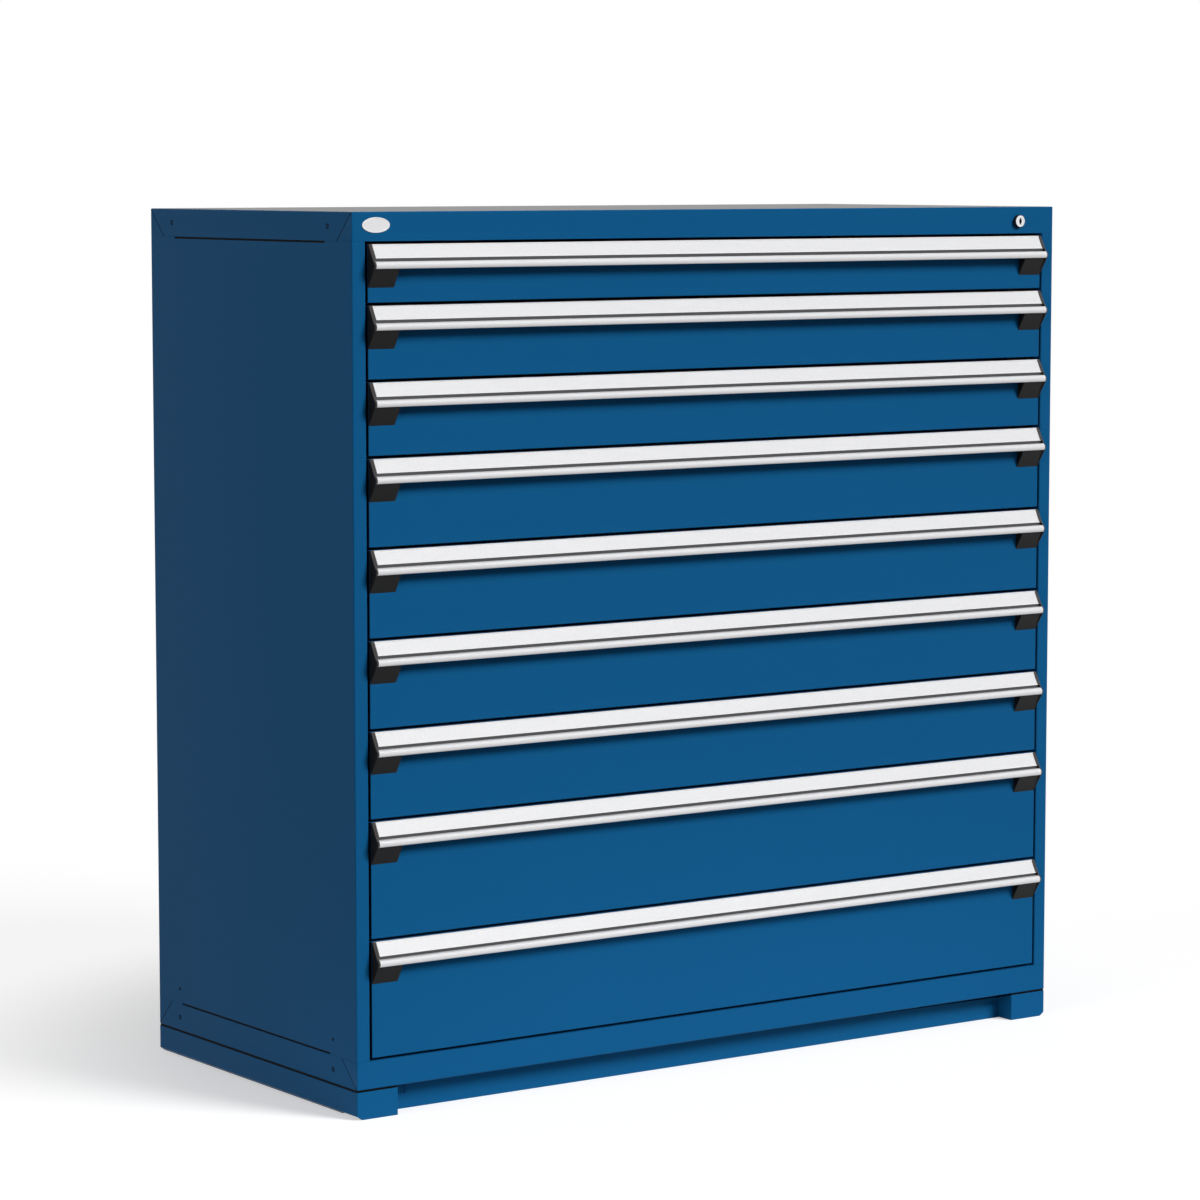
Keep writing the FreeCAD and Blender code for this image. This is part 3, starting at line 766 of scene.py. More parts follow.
def row_tree() -> NodeTree:
    """A straight row of one small piece, such as screws, rivets or rollers.

    Returns:
        A geometry group with the inputs Piece, Count, Start, Step and Material.
    """
    inputs = {"Piece": OBJECT, "Count": INTEGER, "Start": VECTOR, "Step": VECTOR, "Material": MATERIAL}
    graph, given, result = new_group("row_of_pieces", "GeometryNodeTree", inputs, ("Geometry", GEOMETRY))
    line = graph.add(
        "GeometryNodeMeshLine", mode="OFFSET", Count=given["Count"], Start_Location=given["Start"],
        Offset=given["Step"],
    )
    info = graph.add("GeometryNodeObjectInfo", given["Piece"], transform_space="ORIGINAL")
    spread = graph.add("GeometryNodeInstanceOnPoints", Points=line, Instance=info.outputs["Geometry"])
    real = graph.add("GeometryNodeRealizeInstances", spread)
    graph.feed(result, graph.add("GeometryNodeSetMaterial", real, Material=given["Material"]))
    return graph.tree


def slotted_tree() -> NodeTree:
    """A flat sheet with rows of round-ended slots, for tray walls and posts.

    Returns:
        A geometry group that makes a closed sheet in the XY plane, its middle at the origin, with its
        thickness along +Z.
    """
    lengths = ("Width", "Height", "Thickness", "Slot Width", "Slot Height", "Slot Corner")
    inputs = dict.fromkeys(lengths, FLOAT) | dict.fromkeys(("Pitch", "Row Step", "First"), VECTOR)
    inputs |= {"Columns": INTEGER, "Rows": INTEGER, "Material": MATERIAL}
    graph, given, result = new_group("slotted_sheet", "GeometryNodeTree", inputs, ("Geometry", GEOMETRY))
    line, box = "GeometryNodeMeshLine", "GeometryNodeCurvePrimitiveQuadrilateral"
    spread, real = "GeometryNodeInstanceOnPoints", "GeometryNodeRealizeInstances"
    row = graph.add(
        line, mode="OFFSET", Count=given["Columns"], Start_Location=given["First"], Offset=given["Pitch"]
    )
    column = graph.add(line, mode="OFFSET", Count=given["Rows"], Offset=given["Row Step"])
    points = graph.add(real, graph.add(spread, Points=row, Instance=column))
    outline = graph.add(box, mode="RECTANGLE", Width=given["Width"], Height=given["Height"])
    slot = graph.add(box, mode="RECTANGLE", Width=given["Slot Width"], Height=given["Slot Height"])
    ends = graph.add("GeometryNodeFilletCurve", mode="POLY", Curve=slot, Count=2, Radius=given["Slot Corner"])
    holes = graph.add(real, graph.add(spread, Points=points, Instance=ends))
    fill = graph.add("GeometryNodeFillCurve", graph.joined(holes, outline), mode="TRIANGLES")
    lift = graph.add("ShaderNodeCombineXYZ", Z=given["Thickness"])
    thick = graph.add("GeometryNodeExtrudeMesh", fill, mode="FACES", Offset=lift, Individual=False)
    weld = graph.add("GeometryNodeMergeByDistance", graph.joined(thick, fill), Distance=WELD)
    graph.feed(result, graph.add("GeometryNodeSetMaterial", weld, Material=given["Material"]))
    return graph.tree


TREES = {"row": row_tree(), "slotted": slotted_tree()}


def grown(name: str, tree: NodeTree, **inputs: object) -> Mesh:
    """Runs a geometry group and returns what it makes as a plain mesh.

    Args:
        name: A name for the draft object.
        tree: The geometry group.
        inputs: The group's inputs; a space in a name is written as an underscore.

    Returns:
        The mesh, with its instances realised.
    """
    draft = placed(name, bpy.data.meshes.new(name))
    modifier = draft.modifiers.new("grow", "NODES")
    modifier.node_group = tree
    for socket in tree.interface.items_tree:
        key = socket.name.replace(" ", "_")
        if socket.in_out == "INPUT" and key in inputs:
            modifier[socket.identifier] = inputs[key]
    return evaluated(draft)


def turned_rows(
    profile: Sequence[Point2], side: int, steps: int, count: int, finish: Finish,
    rows: Sequence[tuple[Point3, float]],
) -> list[Mesh]:
    """Turns a small piece round the X axis and makes rows of copies of it.

    Args:
        profile: (radius, distance) pairs of its closed outline.
        side: 1 if the distances count along +X, or -1.
        steps: The number of facets round it.
        count: The number of copies in each row.
        finish: Their finish.
        rows: The place of each row's first copy and the step from one copy to the next, along +Y.

    Returns:
        The rows as plain meshes.
    """
    shape = bmesh.new()
    add_lathe(shape, [(radius, side * along) for radius, along in profile], (0, 0, 0), "X", steps)
    piece = mesh_object("turned_piece", outward(shape), finish)
    meshes = []
    for start, step in rows:
        given = {"Piece": piece, "Count": count, "Start": start, "Step": (0, step, 0)}
        meshes.append(grown("row", TREES["row"], Material=finish.material(), **given))
    bpy.data.objects.remove(piece)
    return meshes


@dataclass
class SlottedSheet:
    """A rectangular sheet with slots at a steady pitch, placed by its low corner and two directions."""

    width: float
    height: float
    thickness: float
    finish: Finish
    pitch: float = 25.4 * MM
    slot_width: float = 4.0 * MM
    slot_height: float = 14.0 * MM
    row_pitch: float = 25.4 * MM
    slot_rounding: float = 0.45
    margin: float = 12.0 * MM

    def mesh(self, place: Matrix) -> Mesh:
        """Makes the sheet.

        Args:
            place: Carries the sheet's own XY plane, with its thickness along +Z, into the frame.

        Returns:
            A closed mesh.
        """
        columns = max(1, int((self.width - 2 * self.margin) / self.pitch) + 1)
        rows = max(1, int((self.height - 2 * self.margin - self.slot_height) / self.row_pitch) + 1)
        first = Vector((-(columns - 1) * self.pitch / 2, -(rows - 1) * self.row_pitch / 2, 0.0))
        mesh = grown(
            "slotted_draft",
            TREES["slotted"],
            Width=self.width,
            Height=self.height,
            Thickness=self.thickness,
            Columns=columns,
            Rows=rows,
            Pitch=(self.pitch, 0.0, 0.0),
            Row_Step=(0.0, self.row_pitch, 0.0),
            First=first,
            Slot_Width=self.slot_width,
            Slot_Height=self.slot_height,
            Slot_Corner=self.slot_width * self.slot_rounding,
            Material=self.finish.material(),
        )
        shape = bmesh.new()
        shape.from_mesh(mesh)
        outward(shape)
        shape.to_mesh(mesh)
        shape.free()
        mesh.transform(place)
        return mesh


def joined(name: str, meshes: Iterable[Mesh], finish: Finish) -> Object:
    """Joins meshes of one finish into one shaded piece.

    Args:
        name: The piece's name.
        meshes: The meshes.
        finish: The finish of all of them.

    Returns:
        The finished piece.
    """
    shape = bmesh.new()
    for mesh in meshes:
        shape.from_mesh(mesh)
    return shaded(evaluated(mesh_object(name + "_joined", shape, finish)), name)


def solid_mesh(name: str, shape: BMesh, finish: Finish, bevel: float = 0.0) -> Mesh:
    """The mesh of a closed shape, with its edges eased where a bevel is given.

    Args:
        name: A name for the draft.
        shape: The bmesh, which is freed.
        finish: The finish.
        bevel: How far each edge is eased.

    Returns:
        The mesh.
    """
    draft = mesh_object(name, outward(shape), finish)
    if bevel > 0:
        add_bevel(draft, bevel)
    return evaluated(draft)


# Housing

@dataclass
class Housing:
    """The welded housing: two pans, two side panels, the back, the posts and the fixed runners."""

    sheet: float = 1.5 * MM
    bend: float = 2.2 * MM
    lip: float = 16.0 * MM
    mitre_run: float = 48.0 * MM
    mitre_width: float = 3.4 * MM
    mitre_start: float = 1.5 * MM
    mitre_depth: float = 1.2 * MM
    mitre_fill: float = 0.3 * MM
    screw_radius: float = 4.6 * MM
    screw_head_height: float = 0.8 * MM
    screw_ease: float = 0.3 * MM
    shank_radius: float = 2.5 * MM
    screw_length: float = 9.0 * MM
    pin_radius: float = 1.9 * MM
    ring_depth: float = 0.35 * MM
    seal_sheet: float = 1.0 * MM
    shade_overlap: float = 0.05 * MM
    shade_strip_reach: float = 8.0 * MM
    seam: float = 0.4 * MM
    seam_closing: float = 0.15 * MM
    post_width: float = 60.0 * MM
    post_inset: float = 42.0 * MM
    slit_height: float = 3.1 * MM
    slit_inset: float = 86.0 * MM
    stile_return: float = 20.0 * MM
    hole_radius: float = 3.0 * MM
    hole_inset: float = 76.7 * MM
    hole_rise: float = 27.2 * MM
    lock_hole: float = 9.6 * MM
    hole_shade: float = 0.5 * MM
    corner_cut: float = 1.0 * MM
    post_slot_width: float = 4.5 * MM
    post_slot_height: float = 9.0 * MM
    post_margin: float = 20.0 * MM
    post_edge: float = 0.2 * MM
    lip_edge: float = 0.3 * MM
    runner_edge: float = 0.35 * MM
    back_edge: float = 0.4 * MM
    lock_facets: int = 40
    screw_facets: int = 32
    hole_facets: int = 28
    low: Vector = field(init=False)
    high: Vector = field(init=False)

    def __post_init__(self) -> None:
        """Reads the housing's outer box from the frame."""
        self.low = Vector(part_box("bottom_pan")[0])
        self.high = Vector(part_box("top_pan")[1])

    def build(self) -> None:
        """Builds and dresses every piece of the housing."""
        self.pan("top_pan", True)
        self.pan("bottom_pan", False)
        for side in Side:
            self.side_panel(side)
        self.shade_strips()
        self.side_screws()
        self.posts()
        add_softened("cabinet_runners", "fixed_runners", ZINC, self.runner_edge, "cabinet", Slot.RUNNER)
        add_softened("back_panel", "back_panel_sheet", BLUE_COAT, self.back_edge, "cabinet", Slot.BLUE)

    def pan(self, node: str, is_top: bool) -> None:
        """Folds one pan from its outer faces, with its mitre lines, screw seats and lock hole.

        Args:
            node: top_pan or bottom_pan.
            is_top: Whether the skin is on top and the flanges hang down.
        """
        low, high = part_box(node)
        skin_z, edge_z = (high.z, low.z) if is_top else (low.z, high.z)
        shape = bmesh.new()
        corners = [(low.x, low.y), (high.x, low.y), (high.x, high.y), (low.x, high.y)]
        skin, edge = ([(x, y, z) for x, y in corners] for z in (skin_z, edge_z))
        add_hood(shape, skin, edge, False)
        bmesh.ops.recalc_face_normals(shape, faces=shape.faces)
        centre = Vector((0.0, (low.y + high.y) / 2, edge_z))
        face = max(shape.faces, key=lambda item: item.calc_area())
        if (face.calc_center_median() - centre).dot(face.normal) < 0:
            bmesh.ops.reverse_faces(shape, faces=shape.faces)
        cutter = bmesh.new()
        cutters = [cutter]
        self.add_mitres(cutter, skin_z, edge_z, self.mitre_depth, -BEYOND)
        self.add_screw_seats(cutter, (skin_z + edge_z) / 2)
        if is_top:
            barrel_low, barrel_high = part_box("lock_barrel")
            centre = ((barrel_low.x + barrel_high.x) / 2, low.y, (barrel_low.z + barrel_high.z) / 2)
            add_disc(cutter, self.lock_hole, -BEYOND, BEYOND, centre, "Y", self.lock_facets)
        else:
            corner_cutter = bmesh.new()
            self.add_corner_cuts(corner_cutter, low.z)
            cutters.append(corner_cutter)
        folded = folded_sheet(node + "_folded", shape, BLUE_COAT, self.sheet, self.bend, cutters)
        lip_shape = bmesh.new()
        lip_low = edge_z if is_top else edge_z - self.sheet
        add_cuboid(
            lip_shape,
            (low.x + self.sheet, low.y + self.sheet - HIDDEN_OVERLAP, lip_low),
            (high.x - self.sheet, low.y + self.lip, lip_low + self.sheet),
        )
        lip = solid_mesh(node + "_lip", lip_shape, BLUE_COAT, self.lip_edge)
        piece = joined(node + "_sheet", [folded.data, lip], BLUE_COAT)
        bpy.data.objects.remove(folded)
        seat(piece, "cabinet", Slot.BLUE, node)

    def add_mitres(
        self, shape: BMesh, skin_z: float, edge_z: float, floor: float, top: float
    ) -> None:
        """Adds the thin slanted grooves where the flanges meet at the corners of both sides.

        Args:
            shape: The bmesh of the cutter, or of the black painted shade that fills the grooves.
            skin_z: The height of the pan's skin.
            edge_z: The height of its flanges' edges.
            floor: The depth that the grooves reach to.
            top: The depth that they start from.
        """
        rise = edge_z - skin_z
        slant = math.hypot(self.mitre_run, rise)
        half_y = self.mitre_width / 2 * abs(rise) / slant
        for side in Side:
            x = side.value * (self.high.x - floor)
            for y, way in ((self.low.y, 1), (self.high.y, -1)):
                near, far = y + way * self.mitre_start, y + way * self.mitre_run
                start_z = skin_z + rise * self.mitre_start / self.mitre_run
                line = [(x, near - half_y, start_z), (x, near + half_y, start_z)]
                line += [(x, far + half_y, edge_z), (x, far - half_y, edge_z)]
                add_prism(shape, line, (side.value * (floor - top), 0, 0))

    def screw_ys(self) -> tuple[float, float]:
        """The two distances from front to back at which the side screws stand."""
        return self.low.y + self.hole_inset, self.high.y - self.hole_inset

    def add_screw_seats(self, cutter: BMesh, z: float) -> None:
        """Adds the shallow round seats of the side screws.

        Args:
            cutter: The bmesh of what is cut out.
            z: The height of the screws' axes.
        """
        for side in Side:
            near, far = -side.value * self.screw_head_height, side.value * BEYOND
            for y in self.screw_ys():
                centre = (side.value * self.high.x, y, z)
                add_disc(cutter, self.screw_radius, near, far, centre, "X", self.screw_facets)

    def add_corner_cuts(self, cutter: BMesh, z: float) -> None:
        """Adds wedges that take off the lower edges at the left and right.

        Args:
            cutter: The bmesh of what is cut out.
            z: The height of the pan's skin.
        """
        for side in Side:
            x = side.value * self.high.x
            near, beyond = x - side.value * self.corner_cut, x + side.value * BEYOND
            points = [(near, z), (x, z + self.corner_cut), (beyond, z + self.corner_cut)]
            points += [(beyond, z - BEYOND), (near, z - BEYOND)]
            outline = [(px, self.low.y - BEYOND, pz) for px, pz in points]
            add_prism(cutter, outline, (0, self.high.y - self.low.y + 2 * BEYOND, 0))

    def side_panel(self, side: Side) -> None:
        """Folds one side skin round into its stile and its back flange, and cuts its slits and holes.

        Args:
            side: The side of the cabinet.
        """
        node = f"{side.name.lower()}_side_panel"
        low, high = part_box(node)
        bottom, top = low.z - self.seam_closing, high.z + self.seam_closing
        inner = high.x if side is Side.LEFT else low.x
        outer = side.value * self.high.x
        path = [(inner, low.y + self.stile_return), (inner, low.y), (outer, low.y), (outer, high.y)]
        path.append((inner, high.y))
        shape = bmesh.new()
        rows = [[shape.verts.new((x, y, z)) for x, y in path] for z in (bottom, top)]
        for index in range(len(path) - 1):
            quad = [rows[0][index], rows[0][index + 1], rows[1][index + 1], rows[1][index]]
            shape.faces.new(quad if side is Side.RIGHT else list(reversed(quad)))
        cutter = bmesh.new()
        slits = ((bottom - BEYOND, low.z + self.slit_height), (high.z - self.slit_height, top + BEYOND))
        near, far = outer - side.value * BEYOND / 2, outer + side.value * BEYOND
        front, back = low.y + self.slit_inset, high.y - self.slit_inset
        for slit_low, slit_high in slits:
            add_cuboid(cutter, (near, front, slit_low), (far, back, slit_high))
        for y in self.screw_ys():
            centre = (outer, y, low.z + self.hole_rise)
            add_disc(cutter, self.hole_radius, -BEYOND, BEYOND, centre, "X", self.hole_facets)
        piece = folded_sheet(node + "_sheet", shape, BLUE_COAT, self.sheet, self.bend, [cutter])
        seat(piece, "cabinet", Slot.BLUE, node)

    def shade_strips(self) -> None:
        """Thin black strips of painted shade inside the skin, which keep the slits, the seams, the mitre
        grooves and the bolt holes dark.
        """
        depth = self.sheet - self.shade_overlap
        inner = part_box("right_side_panel")[0].x + depth
        outer = self.high.x - depth
        front, back = self.low.y + depth, self.high.y - depth
        top_seam, bottom_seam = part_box("top_pan")[0].z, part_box("bottom_pan")[1].z
        above_holes = bottom_seam + self.hole_rise + 2 * self.shade_strip_reach
        reach = self.shade_strip_reach
        shape = bmesh.new()
        for side in Side:
            near, far = side.value * outer, side.value * (outer - self.seal_sheet)
            add_cuboid(shape, (near, front, top_seam - reach), (far, back, self.high.z - 2 * self.sheet))
            add_cuboid(shape, (near, front, self.low.z + 2 * self.sheet), (far, back, above_holes))
            far = side.value * inner
            for seam in (top_seam, bottom_seam):
                add_cuboid(shape, (near, front, seam - reach), (far, front + self.seal_sheet, seam + reach))
        hole_z = bottom_seam + self.seam + self.hole_rise
        radius = self.hole_radius + self.shade_overlap
        for side in Side:
            near, far = -side.value * self.hole_shade, -side.value * depth
            for y in self.screw_ys():
                centre = (side.value * self.high.x, y, hole_z)
                add_disc(shape, radius, near, far, centre, "X", self.hole_facets)
        floor = self.mitre_depth + self.shade_overlap
        self.add_mitres(shape, self.high.z, top_seam, floor, self.mitre_fill)
        self.add_mitres(shape, self.low.z, bottom_seam, floor, self.mitre_fill)
        # All these strips are painted shade, in plain black.
        piece = shaded(solid_mesh("seal_draft", shape, PAINTED_SHADE_BLACK), "seam_seals")
        seat(piece, "cabinet", Slot.CAP)

    def side_screws(self) -> None:
        """Sets rows of flush screws into their seats on both sides, each with a black ring of painted shade
        round it.
        """
        heads, rings = [], []
        first, last = self.screw_ys()
        facets = self.screw_facets
        for side in Side:
            rows = []
            for node in ("top_pan", "bottom_pan"):
                low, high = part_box(node)
                rows.append(((side.value * self.high.x, first, (low.z + high.z) / 2), last - first))
            heads += turned_rows(self.screw_head(), -side.value, facets, 2, BLUE_COAT, rows)
            # The rings are painted shade in the screws' seats.
            rings += turned_rows(self.screw_shade_ring(), -side.value, facets, 2, PAINTED_SHADE_BLACK, rows)
        seat(joined("side_screw_set", heads, BLUE_COAT), "cabinet", Slot.BLUE, "side_screws")
        seat(joined("side_screw_rings", rings, PAINTED_SHADE_BLACK), "cabinet", Slot.CAP)

    def screw_head(self) -> list[Point2]:
        """The profile of a screw with a raised round pin on a sunk flange, its outer face at 0.

        Returns:
            (radius, distance) pairs, counted inwards.
        """
        sunk, under, end = 2 * self.ring_depth, self.screw_head_height, self.screw_length
        pin, shank, head = self.pin_radius, self.shank_radius, self.screw_radius
        profile = [(0, 0), (pin - self.screw_ease, 0), (pin, self.screw_ease), (pin, sunk)]
        return profile + [(head, sunk), (head, under), (shank, under), (shank, end), (0, end)]

    def screw_shade_ring(self) -> list[Point2]:
        """The profile of the black ring of painted shade between one screw's pin and the edge of its seat.

        Returns:
            (radius, distance) pairs, counted inwards.
        """
        inner, outer = self.pin_radius - self.shade_overlap, self.screw_radius + self.shade_overlap
        near, far = self.ring_depth, self.ring_depth + self.shade_overlap
        return [(inner, near), (outer, near), (outer, far), (inner, far)]

    def posts(self) -> None:
        """The four channel posts, each with a slotted web that faces the drawers."""
        low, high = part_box("runner_uprights")
        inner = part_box("cabinet_runners")[1].x
        width = self.post_width
        web = SlottedSheet(
            high.z - low.z, width, self.sheet, ZINC, slot_width=self.post_slot_width,
            slot_height=self.post_slot_height, margin=self.post_margin, row_pitch=width,
        )
        middle = (low.z + high.z) / 2
        meshes = []
        for side in Side:
            out, face = side.value, side.value * inner
            for y in (self.low.y + self.post_inset, self.high.y - self.post_inset - width):
                turn = ((0, 0, out, face), (0, 1, 0, y + width / 2), (1, 0, 0, middle), (0, 0, 0, 1))
                meshes.append(web.mesh(Matrix(turn)))
                legs = bmesh.new()
                near, far = out * (inner + self.sheet), out * high.x
                for leg in (y, y + width - self.sheet):
                    add_cuboid(legs, (near, leg, low.z), (far, leg + self.sheet, high.z))
                meshes.append(solid_mesh("post_legs", legs, ZINC, self.post_edge))
        seat(joined("runner_posts", meshes, ZINC), "cabinet", Slot.RUNNER, "runner_uprights")


# Base

@dataclass
class Base:
    """The skirt with its front feet, the recessed kick plate and black painted shade in the seam above them.
    """

    edge: float = 0.7 * MM
    kick_edge: float = 0.4 * MM
    foot_width: float = 81.0 * MM
    seam_shade_inset: float = 1.2 * MM
    gasket_width: float = 6.0 * MM
    notch_depth: float = 24.0 * MM
    shade_sheet: float = 1.0 * MM
    kick_sheet: float = 1.5 * MM

    def build(self) -> None:
        """Builds and dresses the base."""
        add_softened("base_frame", "base_skirt", BLUE_COAT, self.edge, "cabinet", Slot.BLUE)
        add_softened("kick_plate", "kick_plate_sheet", BLUE_COAT, self.kick_edge, "cabinet", Slot.BLUE)
        seat(self.seam_shade(), "cabinet", Slot.CAP)

    def seam_shade(self) -> Object:
        """Black strips of painted shade in the seam under the housing, and behind the notches of the kick
        plate.

        Returns:
            The finished piece.
        """
        low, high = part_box("base_frame")
        kick_low, kick_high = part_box("kick_plate")
        seam_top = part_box("bottom_pan")[0].z + HIDDEN_OVERLAP
        seam_low = kick_high.z - HIDDEN_OVERLAP
        outer = high.x - self.seam_shade_inset
        inner, foot = outer - self.gasket_width, high.x - self.foot_width
        front, back = low.y + self.seam_shade_inset, high.y - self.seam_shade_inset
        shape = bmesh.new()
        for side in Side:
            out = side.value
            add_cuboid(shape, (out * outer, front, seam_low), (out * inner, back, seam_top))
            start = (out * (inner - WELD), front, seam_low)
            add_cuboid(shape, start, (out * foot, front + self.gasket_width, seam_top))
        # A black plate behind the kick plate's notches: painted shade.
        shade = kick_low.y + self.kick_sheet + HIDDEN_OVERLAP
        start = (kick_low.x, shade, kick_high.z - self.notch_depth)
        add_cuboid(shape, start, (kick_high.x, shade + self.shade_sheet, kick_high.z))
        return shaded(solid_mesh("gasket_draft", shape, PAINTED_SHADE_BLACK), "base_gasket")


# Lock and plain plate

@dataclass
class Lock:
    """The lock: a turned case, a plug with its keyway, the cam and the bar behind the stile."""

    head_radius: float = 11.4 * MM
    head_height: float = 8.2 * MM
    body_radius: float = 9.4 * MM
    bore: float = 7.05 * MM
    shoulder: float = 2.0 * MM
    keyway_width: float = 6.2 * MM
    keyway_height: float = 12.4 * MM
    keyway_depth: float = 5.0 * MM
    keyway_shade_start: float = 0.8 * MM
    keyway_steps: int = 8
    keyway_shade_gap: float = 0.02 * MM
    collar: float = 0.9 * MM
    chamfer: float = 0.3 * MM
    bore_lip: float = 0.4 * MM
    dome_run: float = 2.0 * MM
    dome_edge: float = 0.9 * MM
    dome_rise: float = 1.0 * MM
    plug_recess: float = 0.5 * MM
    plug_recess_radius: float = 4.9 * MM
    plug_rim_radius: float = 5.3 * MM
    plug_rim_drop: float = 0.1 * MM
    steel_edge: float = 0.25 * MM
    facets: int = 48

    def build(self) -> None:
        """Builds and dresses the lock."""
        low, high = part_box("lock_barrel")
        centre = ((low.x + high.x) / 2, 0.0, (low.z + high.z) / 2)
        self.case(centre, low.y, high.y)
        self.plug(centre)
        edge, slot = self.steel_edge, Slot.LOCK_STEEL
        add_softened("lock_cam", "lock_cam_disc", OILED_STEEL, edge, "lock_plug", slot)
        add_softened("lock_bar", "lock_bar_strip", OILED_STEEL, edge, "lock_bar", slot)

    def case(self, centre: Point3, front: float, back: float) -> None:
        """Turns the case: a domed bright ring on a collar whose side is black plastic as painted shade, and a
        plain body behind the fascia.

        Args:
            centre: A point on the lock's axis.
            front: Where the case starts.
            back: Where its body ends.
        """
        head, body, bore = self.head_radius, self.body_radius, self.bore
        face, shoulder = front + self.head_height, front + self.shoulder
        dome, ease = head - self.collar, self.chamfer
        profile = [(bore, front + ease), (bore + self.bore_lip, front), (dome - self.dome_run, front)]
        profile += [(dome - self.dome_edge, front + ease), (dome, front + self.dome_rise), (dome, shoulder)]
        profile += [(head, shoulder), (head, face - ease), (head - ease, face), (body, face)]
        profile += [(body, back), (bore, back)]
        shape = bmesh.new()
        add_lathe(shape, profile, centre, "Y", self.facets)
        draft = mesh_object("lock_case_draft", outward(shape), CHROME, BLACK_PLASTIC)
        # The collar's side takes black plastic: painted shade on the barrel's side.
        for part in draft.data.polygons:
            reach = math.hypot(part.center.x - centre[0], part.center.z - centre[2])
            if reach > body and part.center.y > shoulder - WELD:
                part.material_index = 1
        seat(shaded(evaluated(draft), "lock_case"), "cabinet", Slot.CHROME, "lock_barrel")

    def plug(self, centre: Point3) -> None:
        """Turns the plug, cuts its keyway and lines the keyway with black painted shade.

        Args:
            centre: A point on the lock's axis.
        """
        low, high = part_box("lock_plug")
        radius = (high.x - low.x) / 2
        recess, rim = low.y + self.plug_recess, low.y + self.plug_rim_drop
        profile = [(0, recess), (self.plug_recess_radius, recess), (self.plug_rim_radius, rim)]
        profile += [(radius - self.plug_recess, low.y), (radius, low.y + self.bore_lip)]
        profile += [(radius, high.y), (0, high.y)]
        shape = bmesh.new()
        add_lathe(shape, profile, centre, "Y", self.facets)
        draft = mesh_object("lock_plug_draft", outward(shape), CHROME)
        cutter = bmesh.new()
        self.add_keyway(cutter, centre, low.y - self.keyway_depth, low.y + self.keyway_depth, 0.0)
        turned = shaded(cut_mesh(draft, [cutter]), "lock_plug_turned")
        seat(turned, "lock_plug", Slot.CHROME, "lock_plug")
        # The black liner inside the keyway is painted shade.
        keyway_shade = bmesh.new()
        self.add_keyway(keyway_shade, centre, low.y + self.keyway_shade_start, low.y + self.keyway_depth, self.keyway_shade_gap)
        piece = shaded(solid_mesh("keyway_draft", keyway_shade, PAINTED_SHADE_BLACK), "lock_keyway")
        seat(piece, "lock_plug", Slot.CHROME)

    def add_keyway(
        self, shape: BMesh, centre: Point3, front: float, back: float, gap: float
    ) -> None:
        """Adds an upright slot with bowed sides from one depth to another, smaller all round by a gap.

        Args:
            shape: The bmesh.
            centre: A point on the lock's axis.
            front: Where the slot starts.
            back: Where it ends.
            gap: How much smaller it is all round.
        """
        half_width = self.keyway_width / 2 - gap
        bottom, top = (0.0, gap - self.keyway_height / 2), (0.0, self.keyway_height / 2 - gap)
        steps = self.keyway_steps
        corners = [(*bottom, 0.0), *arc_through(bottom, (half_width, 0.0), top, steps)]
        corners += [(*top, 0.0), *arc_through(top, (-half_width, 0.0), bottom, steps)]
        outline = [(centre[0] + corner[0], front, centre[2] + corner[1]) for corner in corners]
        add_prism(shape, outline, (0, back - front, 0))


@dataclass
class OvalPlate:
    """The plain oval plate on the fascia: a satin field inside a bright raised rim."""

    rim: float = 1.7 * MM
    recess: float = 0.35 * MM
    recess_run: float = 0.3 * MM
    rim_points: tuple[Point2, ...] = ((0.0, 0.5 * MM), (0.25 * MM, 0.12 * MM), (0.6 * MM, 0.0))
    facets: int = 72

    def build(self) -> None:
        """Builds and dresses the plate."""
        low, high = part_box("badge_plate")
        middle = (low + high) / 2
        wide, tall = (high.x - low.x) / 2, (high.z - low.z) / 2
        rings = [(0.0, high.y), *((inset, low.y + drop) for inset, drop in self.rim_points)]
        rings += [(self.rim, low.y), (self.rim + self.recess_run, low.y + self.recess)]
        loops = []
        for inset, y in rings:
            turns = [2 * math.pi * step / self.facets for step in range(self.facets)]
            ovals = [((wide - inset) * math.cos(turn), (tall - inset) * math.sin(turn)) for turn in turns]
            loops.append([(middle.x + x, y, middle.z + z) for x, z in ovals])
        shape = bmesh.new()
        add_loft(shape, loops)
        for part in shape.faces:
            if len(part.verts) > 4 and low.y < part.calc_center_median().y < high.y:
                part.material_index = 1
        draft = mesh_object("oval_plate_draft", outward(shape), CHROME, BADGE_ENAMEL)
        seat(shaded(evaluated(draft), "oval_plate"), "cabinet", Slot.BADGE, "badge_plate")


# Drawers

def hung(points: Iterable[Sequence[float]], x: float, front: float, top: float) -> list[Point3]:
    """Places (outward, down) points at one distance to the side, from the front's top edge."""
    return [(x, front - point[0], top - point[1]) for point in points]


